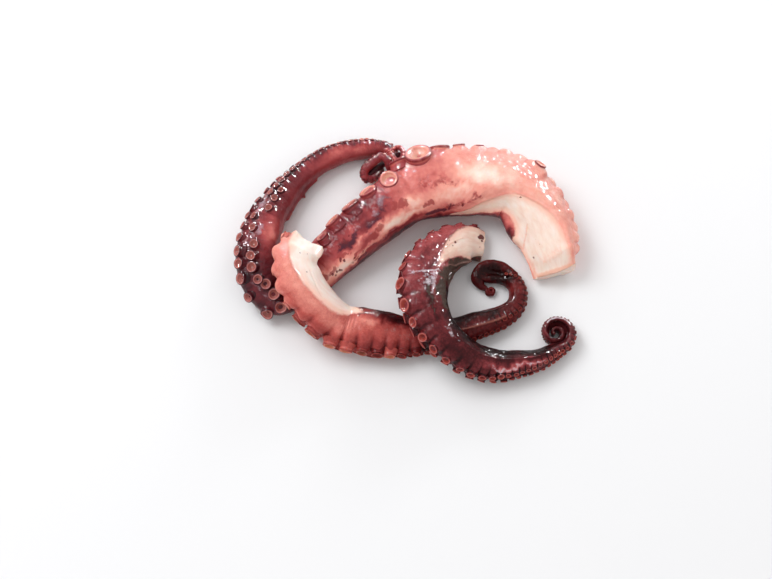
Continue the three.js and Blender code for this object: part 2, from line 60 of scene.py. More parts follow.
longArm = {
    "name": "longArm", "node": "arm_long", "slot": "skin_salmon", "columns": 96, "ringStep": 1.22,
    "seed": 11,
    "sections": [
        [96, -13, 0, 31, 27, 0, 7.5], [93, 0, 0, 33, 29, 0, 8],
        [89.5, 14, 0, 37, 31, 2, 8.5], [82.5, 28.5, 0, 38.5, 32, 5, 9],
        [71.5, 41, 0, 40.5, 33, 8, 9], [54.5, 46.5, 0, 42, 33, 10, 9],
        [36, 47, 0, 43.5, 33, 14, 10.5], [18, 45, 0, 42.5, 33, 36, 17.5],
        [1, 38, 0, 37.5, 31, 48, 15.5], [-14, 26.5, 0, 34.5, 29, 30, 12],
        [-29.5, 13.5, 0, 33, 26, 25, 10.5], [-45, 0, 0, 31, 22, 35, 10],
        [-58.5, -12.5, 0, 30, 16, 70, 8.5], [-71, -22, 0, 29, 13.5, 100, 8],
        [-83, -24.5, 0, 28.5, 15.5, 120, 8], [-92, -15, 0, 27, 20.5, 126, 8.2],
        [-94, 1, 0, 26.5, 23, 130, 7.6], [-90, 17, 0, 24, 22, 134, 6.6],
        [-84, 31, 0, 20.5, 20, 140, 5.6], [-76, 44, 0, 17, 17.5, 146, 4.8],
        [-66.5, 55, 0, 15, 15.5, 150, 4.3], [-54, 65.2, 0, 14.7, 14.5, 154, 3.6],
        [-40, 71.8, 0, 13.8, 13, 156, 3.2], [-26, 74.8, 0, 12.2, 11.5, 156, 3],
        [-15, 75.4, 0, 9.6, 10, 150, 2.6], [-8.5, 73, 0, 7.6, 8, 130, 2.3],
        [-6.8, 67, 0, 6.3, 6.5, 100, 2], [-8, 61.5, 2.5, 5.2, 5.2, 60, 1.9],
        [-9.8, 59.5, 9.5, 4.6, 4.6, 30, 1.8], [-11.2, 62.5, 13, 4.8, 4.8, 0, 1.8],
        [-14.5, 65, 12.5, 5, 5, 0, 1.8], [-20, 62.5, 10, 5.4, 5.4, 0, 1.8],
        [-25, 58, 8, 5.2, 5.2, 0, 1.7], [-25.2, 53.4, 7, 4.6, 4.6, 0, 1.6],
        [-21, 53.2, 5.5, 4.2, 4.2, 0, 1.4], [-16.5, 58, 3.5, 3.6, 3.6, 0, 1.2],
        [-14, 61.5, 1.5, 2.4, 2.4, 0, 0.8],
    ],
    # the slanting cut: how far it reaches, the angle it faces and how far that turns on the way,
    # how deep it goes in (1 is the middle), how fast it gets shallower, and the flesh's bulge
    "cut": {"length": 108, "angle": 118, "turn": 55, "depth": 0.91, "power": 1.6, "bulge": 2.0},
    # the bare flesh: [distance, the angle it starts at, the angle it ends at]
    "flesh": [[0, 46, 190], [12, 52, 192], [20, 62, 194], [29, 72, 196], [32, 76, 182],
              [37, 84, 171], [47, 100, 161], [58, 116, 164], [69, 132, 170], [76, 142, 173],
              [84, 150, 176], [92, 160, 179], [99, 169, 181], [106, 179, 183]],
    # how many millimetres the skin's edge takes to fade into the flesh
    "fleshSoft": 2.4,
    # the end is flattened over that distance, to that share of its height
    "taper": [11, 0.74],
    # a torn point of the end is [angle, length, half angle]
    "fray": [[176, 0.2, 10], [150, 0.2, 8], [120, 0.3, 6], [92, 0.2, 7], [62, -0.5, 14],
             [10, -1.5, 40]],
    # a hollow is a patch in which the surface sinks by that many millimetres, or rises below 0
    "hollows": [[60, 150, 26, 14, 0.4], [40, 128, 26, 24, -0.7], [37, 201, 12, 20, -3.2],
                [0, 8, 8, 44, 1.9], [4, 176, 9, 30, 1.0]],
    # a named sucker is [distance, angle, diameter, aim]: its aim is the angle that its axis has
    "namedCups": [
        [11.5, 2, 6.6, -2], [18, 14, 7, 8], [24, 4, 6.6, 0], [30.5, 15, 7, 10],
        [37, 6, 6.8, 2], [43.5, 18, 7.2, 12], [50, 8, 6.6, 6], [58, 34, 9.4, 44], [65.5, 12, 7, 6],
        [72.5, 22, 7, 14], [79, 12, 6.8, 8], [86, 24, 8, 14], [97, 24, 9.6, 14], [108, 33, 9.4, 26],
        [119, 44, 17.4, 57], [129, 25, 12, 18], [139, 58, 12.6, 81], [153, 46, 12.4, 38],
        [167, 44, 13.2, 32], [181.5, 44, 12, 32], [193, 54, 8.6, 40],
        [201, 64, 8.6, 48], [209, 76, 8.4, 60], [218, 92, 8.2, 78], [228, 110, 8, 96],
        [237, 142, 8.2, 118], [239.5, 108, 8, 102], [246, 96, 7.4, 100], [250.5, 104, 7.2, 103],
        [257, 104, 7.2, 108], [263.5, 101, 6.8, 106], [270, 95, 6.6, 102],
        [240, 172, 7.8, 152], [247, 156, 7.8, 146], [254, 141, 7.8, 138], [260.5, 137, 7.2, 136],
        [267, 136, 7, 140], [274, 141, 6.2, 150], [281, 145, 6, 156], [288.5, 148, 5.8, 158],
        [280, 110, 5.6, 118], [294, 151, 5.4, 156], [300, 150, 5, 152], [288, 122, 5.2, 124],
        [296, 92, 5.2, 98], [304, 94, 5, 98], [311, 92, 4.6, 100],
    ],
    # the rule's stretches: from, to, which row (1 the upper, -1 the lower, 0 both), and how far
    # the row turns from the roll
    "ruleSpans": [[24, 84, -1, 64], [84, 110, -1, 30], [110, 232, -1, 62], [306, 451, 0, 27]],
    "cupLift": [[0, -0.62], [54, -0.6], [57, -0.1], [60, -0.1], [63, -0.6], [80, -0.5], [86, -0.2],
                [104, -0.08], [112, 0.04], [133, 0.02], [144, -0.08], [200, -0.06], [215, 0.0],
                [240, 0.10], [300, 0.08], [320, -0.04], [451, 0.02]],
    "cupScale": [[0, 0.84], [104, 0.84], [112, 1], [390, 1], [408, 1.35], [451, 1.5]],
    "bowl": [[0, 0.1], [200, 0.2], [228, 0.6], [310, 0.75], [451, 0.8]],
    "pillar": [[0, 0.5], [80, 0.46], [104, 0.26], [116, 0.08], [134, 0.10], [144, 0.12], [204, 0.12],
               [240, 0.15], [300, 0.14], [320, 0.24], [400, 0.24], [451, 0.2]],
    "lobe": [[0, 0.7], [108, 0.7], [130, 1.1], [210, 1.1], [240, 0.8], [451, 0.6]],
    "flank": [[0, 0.6], [112, 0.6], [135, 0.8], [145, 1.35], [200, 1.35], [240, 0.9], [300, 0.9],
              [320, 1.2], [451, 1]],
    "cleftShade": [[0, 0.45], [104, 0.4], [112, 0.1], [140, 0.2], [150, 0.3], [200, 0.3], [215, 0.1],
               [240, 0.3], [310, 0.5], [451, 0.6]],
    "pigment": [[0, 0.29], [60, 0.31], [105, 0.36], [125, 0.42], [150, 0.50], [180, 0.54],
                [205, 0.60], [232, 0.86], [258, 0.84], [272, 0.74], [290, 0.70], [320, 0.78], [345, 0.70],
                [380, 0.66], [400, 0.72], [425, 0.68], [451, 0.80]],
    "dark": [
        [156, 66, 9, 26, 0.24], [168, 72, 10, 32, 0.26], [181, 70, 10, 32, 0.26], [192, 74, 7, 24, 0.22],
        [186, 104, 7, 10, 0.30], [165, 104, 12, 13, 0.32], [154, 88, 6, 12, 0.22],
        [118, 96, 12, 12, 0.10], [172, 134, 12, 8, 0.26], [184, 138, 8, 5, 0.22],
        [120, 48, 10, 14, 0.16], [136, 40, 8, 16, 0.22], [150, 36, 12, 14, 0.20],
        [108, 156, 10, 5, 0.22], [97, 148, 8, 3.5, 0.16],
        [150, 160, 24, 7, 0.30], [180, 156, 14, 6, 0.20],
        [118, 186, 30, 18, 0.55], [150, 182, 24, 16, 0.5], [180, 180, 24, 16, 0.4],
        [60, 192, 26, 22, 0.65], [85, 192, 16, 12, 0.6], [36, 192, 9, 14, 0.62],
        [290, 62, 10, 20, -0.12], [348, 120, 60, 12, 0.16], [262, 66, 12, 14, -0.16],
        [124, 104, 4, 6, 0.15], [120, 97, 4, 6, 0.15], [114, 95, 5, 6, 0.14], [107, 101, 4, 6, 0.13],
        [101, 112, 4, 8, 0.14], [90, 130, 9, 5, 0.12],
    ],
    "cream": [
        [84, 92, 13, 17, 0.62], [98, 122, 11, 13, 0.35], [116, 126, 11, 9, 0.2],
        [110, 134, 8, 8, 0.25], [134, 124, 8, 10, 0.50], [142, 142, 14, 10, 0.62],
        [156, 134, 12, 14, 0.95], [168, 142, 10, 7, 0.5], [182, 148, 12, 7, 0.7],
        [196, 140, 14, 20, 1.0], [206, 132, 10, 20, 0.8], [187, 116, 5, 8, 0.35],
        [178, 118, 6, 6, 0.55], [69, 92, 9, 14, 0.25], [178, 90, 5, 8, 0.35],
        [280, 62, 9, 26, 0.55], [360, 72, 22, 26, 0.28],
    ],
    "blotch": [
        [143, 114, 4.5, 9, 1], [140, 122, 3, 6, 0.9], [148, 105, 4, 7, 0.9], [122, 137, 4, 6, 1],
        [128, 137, 4, 7, 1], [112, 106, 9, 8, 0.7], [103, 110, 8, 7, 0.6], [122, 98, 8, 8, 0.55],
        [89, 130, 5, 6, 0.7], [82, 134, 5, 5, 0.6],
        [164, 128, 4, 6, 0.9], [171, 133, 5, 6, 1], [178, 136, 6, 5, 1], [186, 137, 4, 4, 0.9],
        [190, 119, 4, 5, 1], [193, 114, 3, 5, 0.9], [187, 146, 6, 4, 0.9], [177, 146, 5, 4, 0.8],
        [203, 130, 5, 8, 0.9], [209, 128, 4, 8, 0.8], [136, 60, 4, 8, 0.5],
    ],
    "bruise": [
        [151, 84, 5, 8, 0.8], [156, 98, 5, 7, 0.7], [163, 112, 6, 6, 0.95], [169, 112, 5, 6, 0.85],
        [183, 106, 5, 7, 0.95], [190, 104, 4, 6, 0.85], [178, 104, 4, 7, 0.8], [172, 76, 5, 8, 0.5],
        [148, 76, 4, 6, 0.5], [149, 90, 4, 6, 0.6],
        [112, 158, 7, 5, 0.85], [104, 152, 5, 4, 0.7], [172, 152, 14, 4, 0.7], [156, 152, 10, 4, 0.6],
        [184, 158, 12, 5, 0.7], [120, 190, 26, 12, 0.8], [152, 188, 22, 12, 0.7],
        [60, 206, 26, 18, 0.7], [262, 120, 20, 26, 0.35], [255, 90, 14, 12, 0.4],
    ],
    # pale lilac patches: partly a whitish film on the skin, partly painted sheen
    "bloom": [
        [151, 84, 5, 12, 0.7], [160, 94, 4, 9, 0.7], [166, 108, 4, 8, 0.5], [174, 98, 4, 8, 0.6],
        [156, 157, 4, 4, 0.8], [162, 154, 4, 3, 0.6], [193, 90, 2, 5, 0.6], [139, 110, 4, 6, 0.4],
        [281, 92, 5, 12, 0.9], [276, 108, 3.5, 12, 0.7], [286, 118, 6, 12, 0.5],
        [299, 122, 5, 12, 0.9], [292, 132, 4, 8, 0.7], [309, 116, 4, 11, 0.55], [242, 126, 6, 8, 0.5],
        [249, 126, 3, 6, 0.7], [256, 122, 3, 6, 0.5],
    ],
    # creases are [distance, angle, half length, half angle, pitch, depth, 1 if they run lengthwise]
    "creases": [[205, 60, 30, 60, 3.2, 0.12, 0], [345, 140, 40, 26, 3.4, 0.25, 0],
                [74, 162, 8, 7, 1.3, 0.08, 0], [150, 176, 60, 18, 2.4, 0.2, 1]],
    # a stroke is [distance, angle] at both ends, width, height, what it colours, and how much
    "strokes": [
        [7, 140, 8, 104, 1.5, 0.35, "seam", 0.5], [8, 104, 11, 54, 1.3, 0.3, "seam", 0.35],
        [9, 128, 10, 80, 3.4, 0, "seam", 0.45], [0.6, 178, 0.4, 52, 1.3, 0.3, "seam", 0.95],
        [3, 186, 9, 178, 1.2, 0.2, "seam", 0.6],
        [34, 140, 28, 158, 0.7, -0.25, "seam", 0.7], [28, 158, 19, 186, 0.7, -0.3, "seam", 0.7],
        [74, 140, 52, 112, 0.5, 0.3, "blotch", 0.55], [99, 168, 76, 143, 0.6, 0.35, "blotch", 0.6],
        [132, 52, 122, 79, 0.35, 0.4, "bloom", 1.0], [133, 66, 131, 76, 0.45, 0.3, "bloom", 0.8],
        [300, 352, 322, 344, 1.5, 1.8, "seam", 0.5], [322, 344, 337, 350, 1.5, 1.6, "seam", 0.4],
        [127, 164, 111, 158, 1.7, 0.2, "bruise", 0.9], [111, 158, 97, 147, 1.2, 0.2, "blotch", 0.8],
        [97, 147, 84, 134, 1.0, 0.15, "blotch", 0.6],
        [172, 140, 196, 150, 0.5, 0.3, "bloom", 0.35], [160, 140, 178, 146, 0.5, 0.3, "bloom", 0.4],
        [166, 122, 180, 124, 0.5, 0.25, "bloom", 0.5],
    ],
    # a dark spot is [distance, angle, radius], on bare flesh or skin
    "spots": [
        [52, 112, 0.7], [12, 168, 0.8], [22, 138, 0.4], [18, 132, 0.45], [97, 151, 0.9],
        [194, 122, 0.9], [195, 126, 0.8], [193, 131, 1.0], [199, 142, 0.9], [198, 147, 0.7],
        [201, 139, 0.8], [187, 144, 0.7], [204, 136, 0.9], [176, 100, 0.6], [181, 96, 0.6],
        [203, 146, 0.7], [190, 98, 0.6],
    ],
}

middleArm = {
    "name": "middleArm", "node": "arm_middle", "slot": "skin_rose", "columns": 96, "ringStep": 1.0,
    "seed": 23,
    "sections": [
        [-62.6, 0.9, 24.5, 25, 12, 0, 7], [-66.4, -7, 22.3, 27, 17.5, 0, 8.2],
        [-67.6, -16, 19.5, 27.6, 21.5, -4, 8.8], [-63.6, -28, 17.3, 27.6, 21.5, -8, 9],
        [-52.5, -39.5, 9.7, 27, 21.5, -12, 9], [-39.5, -47, 0, 26, 22, -14, 9],
        [-25, -50.5, 0, 26.5, 20, -14, 8.6], [-10, -52.5, 0, 26, 16, -8, 7.6],
        [5, -53.8, 0, 23, 13.5, 0, 6.6], [20, -53.2, 0, 19, 13, 20, 5.6],
        [34.8, -50.6, 0, 17.5, 13, 40, 4.9], [48.3, -46.2, 0, 17.5, 13, 50, 4.6],
        [61, -41.2, 0, 15, 12.5, 45, 4.3], [70, -33.8, 0, 12.2, 12, 30, 3.6],
        [72, -23.8, 0, 11.6, 12, 25, 3], [67.5, -16, 0, 11, 11.5, 60, 2.8],
        [60, -12.2, 0, 12.5, 11.5, 110, 2.6], [52.6, -11.6, 0, 12.8, 10.5, 150, 2.2],
        [47.6, -14.6, 0, 9.2, 8, 170, 1.6], [48.8, -19, 0, 5.4, 5.5, 180, 1.2],
    ],
    "coil": {"centre": [55, -22.4], "start": 160, "turns": 1.45, "radius": [3, 0.7],
             "width": [3, 1.1], "height": [4, 3], "sucker": [1, 0.4], "roll": 180, "sections": 8},
    "cut": {"length": 79, "angle": 122, "turn": 46, "depth": 0.56, "power": 1, "bulge": 1.6},
    "flesh": [[0, 44, 204], [4, 52, 202], [12, 70, 198], [23, 86, 196], [31, 88, 196], [41, 88, 194],
              [50, 88, 192], [57, 100, 184], [63, 107, 170], [68, 114, 148], [74, 119, 121]],
    "fleshSoft": 2.6,
    "taper": [9, 0.6],
    "fray": [[50, 3.0, 7], [64, 1.0, 4], [176, 1.6, 7], [110, 0.2, 14]],
    "hollows": [[15, 182, 7, 26, 1.4], [3, 176, 3, 16, -0.8], [207, 92, 8, 40, 5.2],
                [207, 14, 9, 36, -2.2], [219, 60, 5, 60, -0.9], [168, 150, 16, 24, 1.2],
                [60, 176, 22, 16, 0.7]],
    "namedCups": [
        [4, 14, 6.6, 12], [11.5, 8, 7.4, 6], [19, 6, 7.6, 2], [26.5, 6, 7.8, 2], [34, 6, 8, 0],
        [42, 2, 8.6, -6], [50.5, 8, 9.2, -4], [59.5, 10, 9.4, 0], [68.5, 12, 9.2, 4],
        [77.5, 12, 9, 6], [86, 12, 8.6, 6], [94, 12, 8.2, 8], [101.5, 13, 7.8, 8], [109, 14, 7.4, 10],
        [116, 15, 7, 12],
    ],
    "ruleSpans": [[0, 42, -1, 64], [42, 114, -1, 34], [114, 160, -1, 30], [160, 200, -1, 30],
                  [160, 200, 1, 16]],
    "cupLift": [[0, -0.34], [24, -0.34], [34, -0.16], [42, -0.08], [50, 0.0], [90, 0.02], [112, 0.0],
                [125, -0.10], [243, -0.10]],
    "cupScale": [[0, 0.8], [30, 0.85], [48, 0.95], [90, 0.9], [125, 0.74], [243, 0.8]],
    "bowl": [[0, 0.1], [60, 0.3], [243, 0.6]],
    "pillar": [[0, 0.46], [34, 0.46], [45, 0.44], [90, 0.38], [120, 0.28], [150, 0.16], [190, 0.16],
               [243, 0.2]],
    "lobe": [[0, 1.6], [34, 1.7], [48, 2.2], [110, 2.0], [130, 1.0], [243, 0.6]],
    "flank": [[0, 0.7], [40, 0.9], [60, 1.1], [120, 1.1], [243, 1.0]],
    "cleftShade": [[0, 0.2], [50, 0.45], [100, 0.6], [243, 0.8]],
    "pigment": [[0, 0.38], [28, 0.45], [62, 0.54], [82, 0.63], [108, 0.75], [128, 0.87],
                [158, 0.86], [188, 0.82], [204, 0.88], [222, 0.90], [243, 0.80]],
    "dark": [
        [84, 150, 16, 26, 0.35], [98, 128, 18, 20, 0.35], [50, 30, 30, 14, 0.14],
        # the patch at 206, 96 is painted shade in the hollow of the lobe near the tip
        [206, 96, 9, 40, 0.3], [203, 132, 8, 30, 0.3], [150, 130, 24, 26, 0.2], [80, 40, 16, 16, 0.1],
    ],
    "cream": [[78, 96, 7, 10, 0.55], [4, 40, 6, 16, 0.25], [40, 70, 24, 12, 0.18], [70, 84, 8, 20, 0.2],
              [96, 74, 16, 26, 0.14]],
    "blotch": [[62, 34, 12, 10, 0.4], [86, 40, 10, 16, 0.45]],
    "bruise": [[82, 160, 14, 14, 0.8], [94, 136, 12, 10, 0.8], [106, 116, 12, 9, 0.7],
               [148, 118, 16, 12, 0.5]],
    "bloom": [[92, 84, 8, 14, 0.5], [102, 74, 10, 14, 0.5], [98, 104, 6, 8, 0.45],
              [172, 74, 4, 12, 0.3]],
    "creases": [[66, 82, 11, 22, 2.3, 0.22, 0], [150, 60, 30, 60, 3.6, 0.12, 0],
                [92, 138, 18, 18, 2.2, 0.3, 1]],
    "strokes": [
        [24, 136, 31, 130, 0.6, -0.3, "seam", 0.35], [31, 130, 41, 104, 0.6, -0.3, "seam", 0.3],
        [116, 72, 134, 80, 0.8, 0.7, "seam", 0.55], [134, 80, 166, 68, 0.8, 0.8, "seam", 0.6],
        [84, 128, 116, 108, 1.0, 0.5, "bruise", 0.6], [72, 112, 80, 130, 0.9, 0.7, "bruise", 0.7],
    ],
    "spots": [[10, 132, 0.4], [25, 120, 0.4], [11, 106, 0.45]],
}

shortArm = {
    "name": "shortArm", "node": "arm_short", "slot": "skin_maroon", "columns": 96, "ringStep": 1.0,
    "seed": 37,
    "sections": [
        [50.2, 6.3, 0, 21, 15.5, 0, 5], [41, 6.4, 0, 25.2, 20.5, 4, 5.4],
        [30.5, 3, 1.5, 27.8, 22, 11, 5.9], [20.8, -5.3, 5, 30, 22, 16, 6.8],
        [15.5, -15, 9, 31, 22, 18, 7.2], [13, -27, 14, 29.5, 21, 18, 7.2],
        [14, -40.8, 16.2, 26, 20, 18, 7], [19.8, -54, 16.2, 22.5, 18.5, 17, 6.6],
        [30, -65, 14, 20.5, 17, 16, 6.4], [43, -71.3, 5, 20, 16.5, 12, 6],
        [57, -73.4, 0, 19, 17, 8, 4.8], [71, -72.4, 0, 16.3, 15.5, 4, 3],
        [84, -69.3, 0, 13.5, 14, 2, 2.6], [94.5, -63.4, 0, 10.5, 12, 0, 2.4],
    ],
    "coil": {"centre": [95.6, -51.8], "start": -52, "turns": 1.75, "radius": [9.6, 1.2],
             "width": [7.6, 2], "height": [11, 7], "sucker": [2.4, 0.8], "roll": 0, "sections": 14},
    "cut": {"length": 55, "angle": 105, "turn": 75, "depth": 0.72, "power": 1.2, "bulge": 1.8},
    "flesh": [[0, 22, 176], [4, 27, 168], [9, 42, 166], [12, 50, 158], [15, 57, 152], [21, 74, 142],
              [28, 86, 132], [35, 97, 124], [42, 106, 117], [48, 111, 113]],
    "fleshSoft": 2.2,
    "taper": [14, 0.6],
    "fray": [[60, 0.4, 10], [150, 0.2, 10]],
    "hollows": [[0, 178, 9, 38, 4.2], [20, 156, 9, 12, 0.8], [38, 168, 16, 20, 1.6], [30, 118, 12, 12, -0.5],
                [178, 138, 26, 40, 1.8], [206, 150, 16, 50, 2.2], [74, 96, 12, 12, -0.7],
                [130, 138, 30, 24, 1.0]],
    "namedCups": [
        [6, 14, 4, 14], [12.5, 18, 4.4, 18], [19.5, 22, 4.8, 20], [27, 26, 5.2, 24], [35, 26, 5.6, 24],
        [43, 26, 6.2, 26], [51, 29, 7, 34], [60, 28, 8, 42], [70, 30, 8, 46],
        [78.5, 29, 7.4, 44], [86.5, 25, 6.8, 34], [94, 23, 6.6, 26], [101, 21, 6.4, 20],
        [108, 20, 6.2, 16], [114.5, 20, 5.8, 14], [120.5, 20, 5.4, 14], [126, 21, 4.8, 14],
    ],
    "ruleSpans": [[0, 126, -1, 34], [127, 150, 0, 22], [150, 232, 0, 22]],
    # how far both rows turn round the arm from its roll: [distance, angle]
    "rowTurn": [[0, 0], [140, 0], [160, 24], [178, 24], [190, -14], [232, -20]],
    "cupLift": [[0, -0.14], [50, -0.06], [60, 0.04], [90, 0.04], [130, 0.0], [232, 0.0]],
    "cupScale": [[0, 0.9], [60, 1], [120, 0.95], [150, 1.15], [182, 1.2], [192, 0.7], [232, 0.6]],
    "bowl": [[0, 0.4], [60, 0.6], [232, 0.6]],
    "pillar": [[0, 0.30], [60, 0.34], [80, 0.36], [120, 0.34], [140, 0.24], [232, 0.18]],
    "lobe": [[0, 0.8], [56, 1.0], [80, 1.7], [124, 1.7], [150, 0.8], [232, 0.6]],
    "flank": [[0, 0.6], [60, 0.8], [90, 1.0], [130, 1.1], [232, 1.0]],
    "cleftShade": [[0, 0.2], [60, 0.4], [130, 0.8], [232, 1]],
    "pigment": [[0, 0.61], [28, 0.61], [52, 0.67], [74, 0.76], [110, 0.82], [128, 0.80],
                [158, 0.81], [185, 0.78], [232, 0.84]],
    "dark": [[64, 100, 12, 10, 0.22], [78, 97, 8, 6, 0.15], [104, 70, 26, 30, 0.06],
             [48, 96, 10, 8, 0.2], [40, 76, 20, 8, 0.12],
             [66, 166, 26, 34, 0.26], [96, 150, 26, 36, 0.26], [128, 138, 26, 38, 0.26],
             [158, 132, 20, 38, 0.24], [192, 140, 24, 50, 0.16], [214, 150, 20, 60, 0.1],
             [190, 50, 40, 30, -0.22]],
    "cream": [[138, 58, 15, 11, 0.85], [153, 54, 10, 9, 0.7], [124, 64, 7, 9, 0.4],
              [70, 34, 30, 12, 0.08], [95, 36, 30, 14, 0.08]],
    "blotch": [],
    "bruise": [[65, 101, 8, 6, 0.9], [76, 97, 7, 5, 0.7],
               [6, 184, 12, 18, 1], [17, 168, 12, 20, 1], [27, 156, 12, 22, 1], [38, 148, 12, 24, 1],
               [40, 170, 18, 26, 1], [50, 138, 10, 20, 1], [62, 138, 10, 20, 1], [73, 134, 9, 16, 0.8],
               [20, 200, 26, 30, 1]],
    # pale patches: partly a whitish film and shred, partly painted sheen on the upper side
    "bloom": [[30, 40, 2.2, 5, 0.6], [60, 100, 4.5, 10, 0.72], [136, 58, 14, 8, 0.8], [151, 55, 9, 7, 0.7]],
    "creases": [[36, 172, 20, 18, 2.4, 0.5, 1], [64, 160, 32, 30, 3.0, 0.25, 1],
                [54, 136, 14, 16, 2.0, 0.3, 1], [60, 60, 50, 40, 5, 0.1, 0]],
    "strokes": [
        [52, 114, 74, 111, 0.8, 0.9, "seam", 0.6], [74, 111, 92, 108, 0.8, 0.8, "seam", 0.3],
        [92, 108, 128, 94, 0.9, 0.9, "blotch", 0.4], [128, 94, 160, 84, 1.0, 1.0, "blotch", 0.4],
        [8, 172, 30, 158, 0.7, 0.7, "seam", 0.7], [30, 158, 52, 114, 0.7, 0.8, "seam", 0.7],
        [52, 117, 54, 84, 0.6, 0.3, "bloom", 0.95], [54, 84, 55, 47, 0.45, 0.3, "bloom", 0.8],
        [53, 112, 59, 72, 0.5, 0.3, "bloom", 0.8], [54, 114, 64, 88, 0.7, 0.3, "bloom", 0.9],
        [56, 116, 67, 106, 0.8, 0.3, "bloom", 0.85], [55, 108, 61, 80, 0.6, 0.25, "bloom", 0.8],
        [92, 104, 96, 96, 1.0, 0.3, "bloom", 0.6], [92, 104, 89, 98, 0.6, 0.3, "bloom", 0.5],
        [93, 102, 100, 100, 0.5, 0.2, "bloom", 0.5],
        [20, 92, 30, 96, 0.5, 0.25, "seam", 0.7], [14, 86, 20, 92, 0.5, 0.25, "seam", 0.6],
        # the pale strokes on the spiral, from 176 on, are painted highlights
        [188, 66, 202, 66, 0.7, 0.2, "bloom", 0.9], [197, 110, 204, 110, 0.6, 0.1, "bloom", 0.5],
        [212, 112, 220, 112, 0.6, 0.1, "bloom", 0.7], [176, 150, 184, 150, 0.6, 0.1, "bloom", 0.5],
    ],
    "spots": [[2.5, 62, 1.9], [4, 70, 1.2], [2, 78, 0.9], [21, 96, 0.9], [24, 102, 0.5],
              [24, 84, 0.5], [3, 108, 0.4], [27, 92, 0.4]],
}

# the long arm's thin end, which curls aside into a ring, and two dark fillers that are painted
# shade in the holes: a nearly black core in the ring and a dark web inside the tip's loop. Each
# is [x, y, z] along the middle, and the radius at both ends
sideCurl = {
    "path": [[-16, 72, 5], [-12, 73.6, 7], [-8.6, 70.5, 9.5], [-7.6, 66.6, 11.5], [-4.6, 63.6, 12.5],
             [-1.4, 65.4, 12.5], [-0.9, 70.2, 12], [-3.6, 73.2, 11.5], [-7, 71.6, 11], [-6.8, 67.8, 10.5]],
    "radii": [2.5, 1.2], "columns": 28,
    "beads": {"angles": [15, 70], "pitch": 2.5, "size": 1.2, "height": 0.42},
    "fields": {"pigment": 0.72},
}
ringShadeCore = {
    "path": [[-6, 67.6, 8.6], [-4.6, 68.6, 8.8], [-3.2, 69.6, 8.6]],
    "radii": [1.9, 1.8], "columns": 20, "fields": {"pigment": 0.98},
}
loopShadeFill = {
    "path": [[-22.5, 56.6, 5.4], [-20, 59, 6.2], [-16.5, 61.8, 6.4], [-13.4, 64, 6]],
    "radii": [3.2, 2.2], "columns": 24, "fields": {"pigment": 0.94},
}

# a sucker, as [radius, height, zone, height of a deeper bowl] in shares of its diameter, from
# the middle over the rim and down the stalk: zone 0 is the middle, 1 the rim and 2 the foot
cupProfile = np.array([
    [0.000, -0.034, 0.00, -0.170], [0.030, -0.030, 0.05, -0.168], [0.060, -0.012, 0.10, -0.150],
    [0.095, 0.012, 0.17, -0.140], [0.155, 0.024, 0.28, -0.108], [0.225, 0.040, 0.40, -0.046],
    [0.285, 0.070, 0.52, 0.034], [0.335, 0.112, 0.64, 0.104], [0.380, 0.142, 0.74, 0.142],
    [0.430, 0.158, 0.84, 0.158], [0.474, 0.150, 0.94, 0.150], [0.500, 0.118, 1.02, 0.118],
    [0.503, 0.086, 1.10, 0.086], [0.490, 0.040, 1.20, 0.040], [0.480, -0.010, 1.32, -0.010],
    [0.486, -0.070, 1.46, -0.070], [0.510, -0.140, 1.60, -0.140], [0.550, -0.215, 1.74, -0.215],
    [0.610, -0.305, 1.88, -0.305], [0.690, -0.430, 2.00, -0.430],
])
# suckers by least and greatest diameter, with the rings and sides of their mesh
cupGrades = ((9, 99, 34, 54), (4, 9, 26, 36), (2, 4, 15, 18), (0, 2, 9, 10))
cupTilt = 0.45                # how far a cup turns from its own side towards the middle
suckerPitch = 1.14            # from sucker to sucker of a row, in diameters
stalkTone = 0.12              # how much darker the stalk is than the skin
stalkZones = (1.15, 1.6)      # the zones between which the stalk gets that dark
# the lobe under a sucker, in diameters: half its length along the arm, how far it runs towards
# the middle of the sucker side, and the place and half width of the lines of painted shade in the
# clefts beside it
lobeReach, lobeInner = 0.66, 0.42
cleftShadePlace, cleftShadeWide = 0.55, 0.09
cutMargin = 11                # degrees that the rule's suckers keep from the slanting cut
leastStep = 0.42              # least distance between the rule's suckers
cutColumns = 88               # half angle, before the squeeze, of the columns across the cut
narrowCut = 12                # the least half angle that they are squeezed to
columnFade = 45               # distance past the cut over which the columns go back to even
fullChord = 24                # width of the cut at which its flesh bulges fully
tearReach = 4                 # distance over which the torn points of the end fade
skinEdge = (0.4, -0.8)        # where skin starts and is whole, in millimetres into the flesh
fullRadius = 9                # radius of the arm from which the relief has its full height
fleshRelief = 0.3             # the lumps' share of their height on bare flesh
fleshRidge = 0.1              # and the sucker lobes' share
cleftShadeTone = 0.3               # how much painted shade darkens the clefts beside a lobe
strokeSpread = 1.3            # how much wider a stroke's colour is than its ridge
lipHeight, lipPlace, lipWide = 0.32, -0.8, 0.9     # the skin's rolled edge beside the flesh
lumps = ((0.42, 11), (0.26, 4.6), (0.14, 1.9))     # height and size of the skin's unevenness
wanders = ((2.4, 6.5), (1.3, 2.6), (0.6, 1.2))     # shift and size that break up the patches
# the pale bloom is partly a whitish film on the skin and partly painted sheen, and on the short arm's spiral
# it is painted highlights
maskNames = ("blotch", "bruise", "bloom")


def throughRows(rows, at):
    # Catmull-Rom: cubics through the rows, each tangent half the step between its neighbours
    rows = np.vstack([2 * rows[0] - rows[1], rows, 2 * rows[-1] - rows[-2]])
    at = np.clip(at, 0, len(rows) - 3 - 1e-9)
    k = np.floor(at).astype(int)
    u = (at - k)[:, None]
    a, b, c, d = rows[k], rows[k + 1], rows[k + 2], rows[k + 3]
    return 0.5 * (2 * b + (c - a) * u + (2 * a - 5 * b + 4 * c - d) * u ** 2
                  + (3 * b - a - 3 * c + d) * u ** 3)


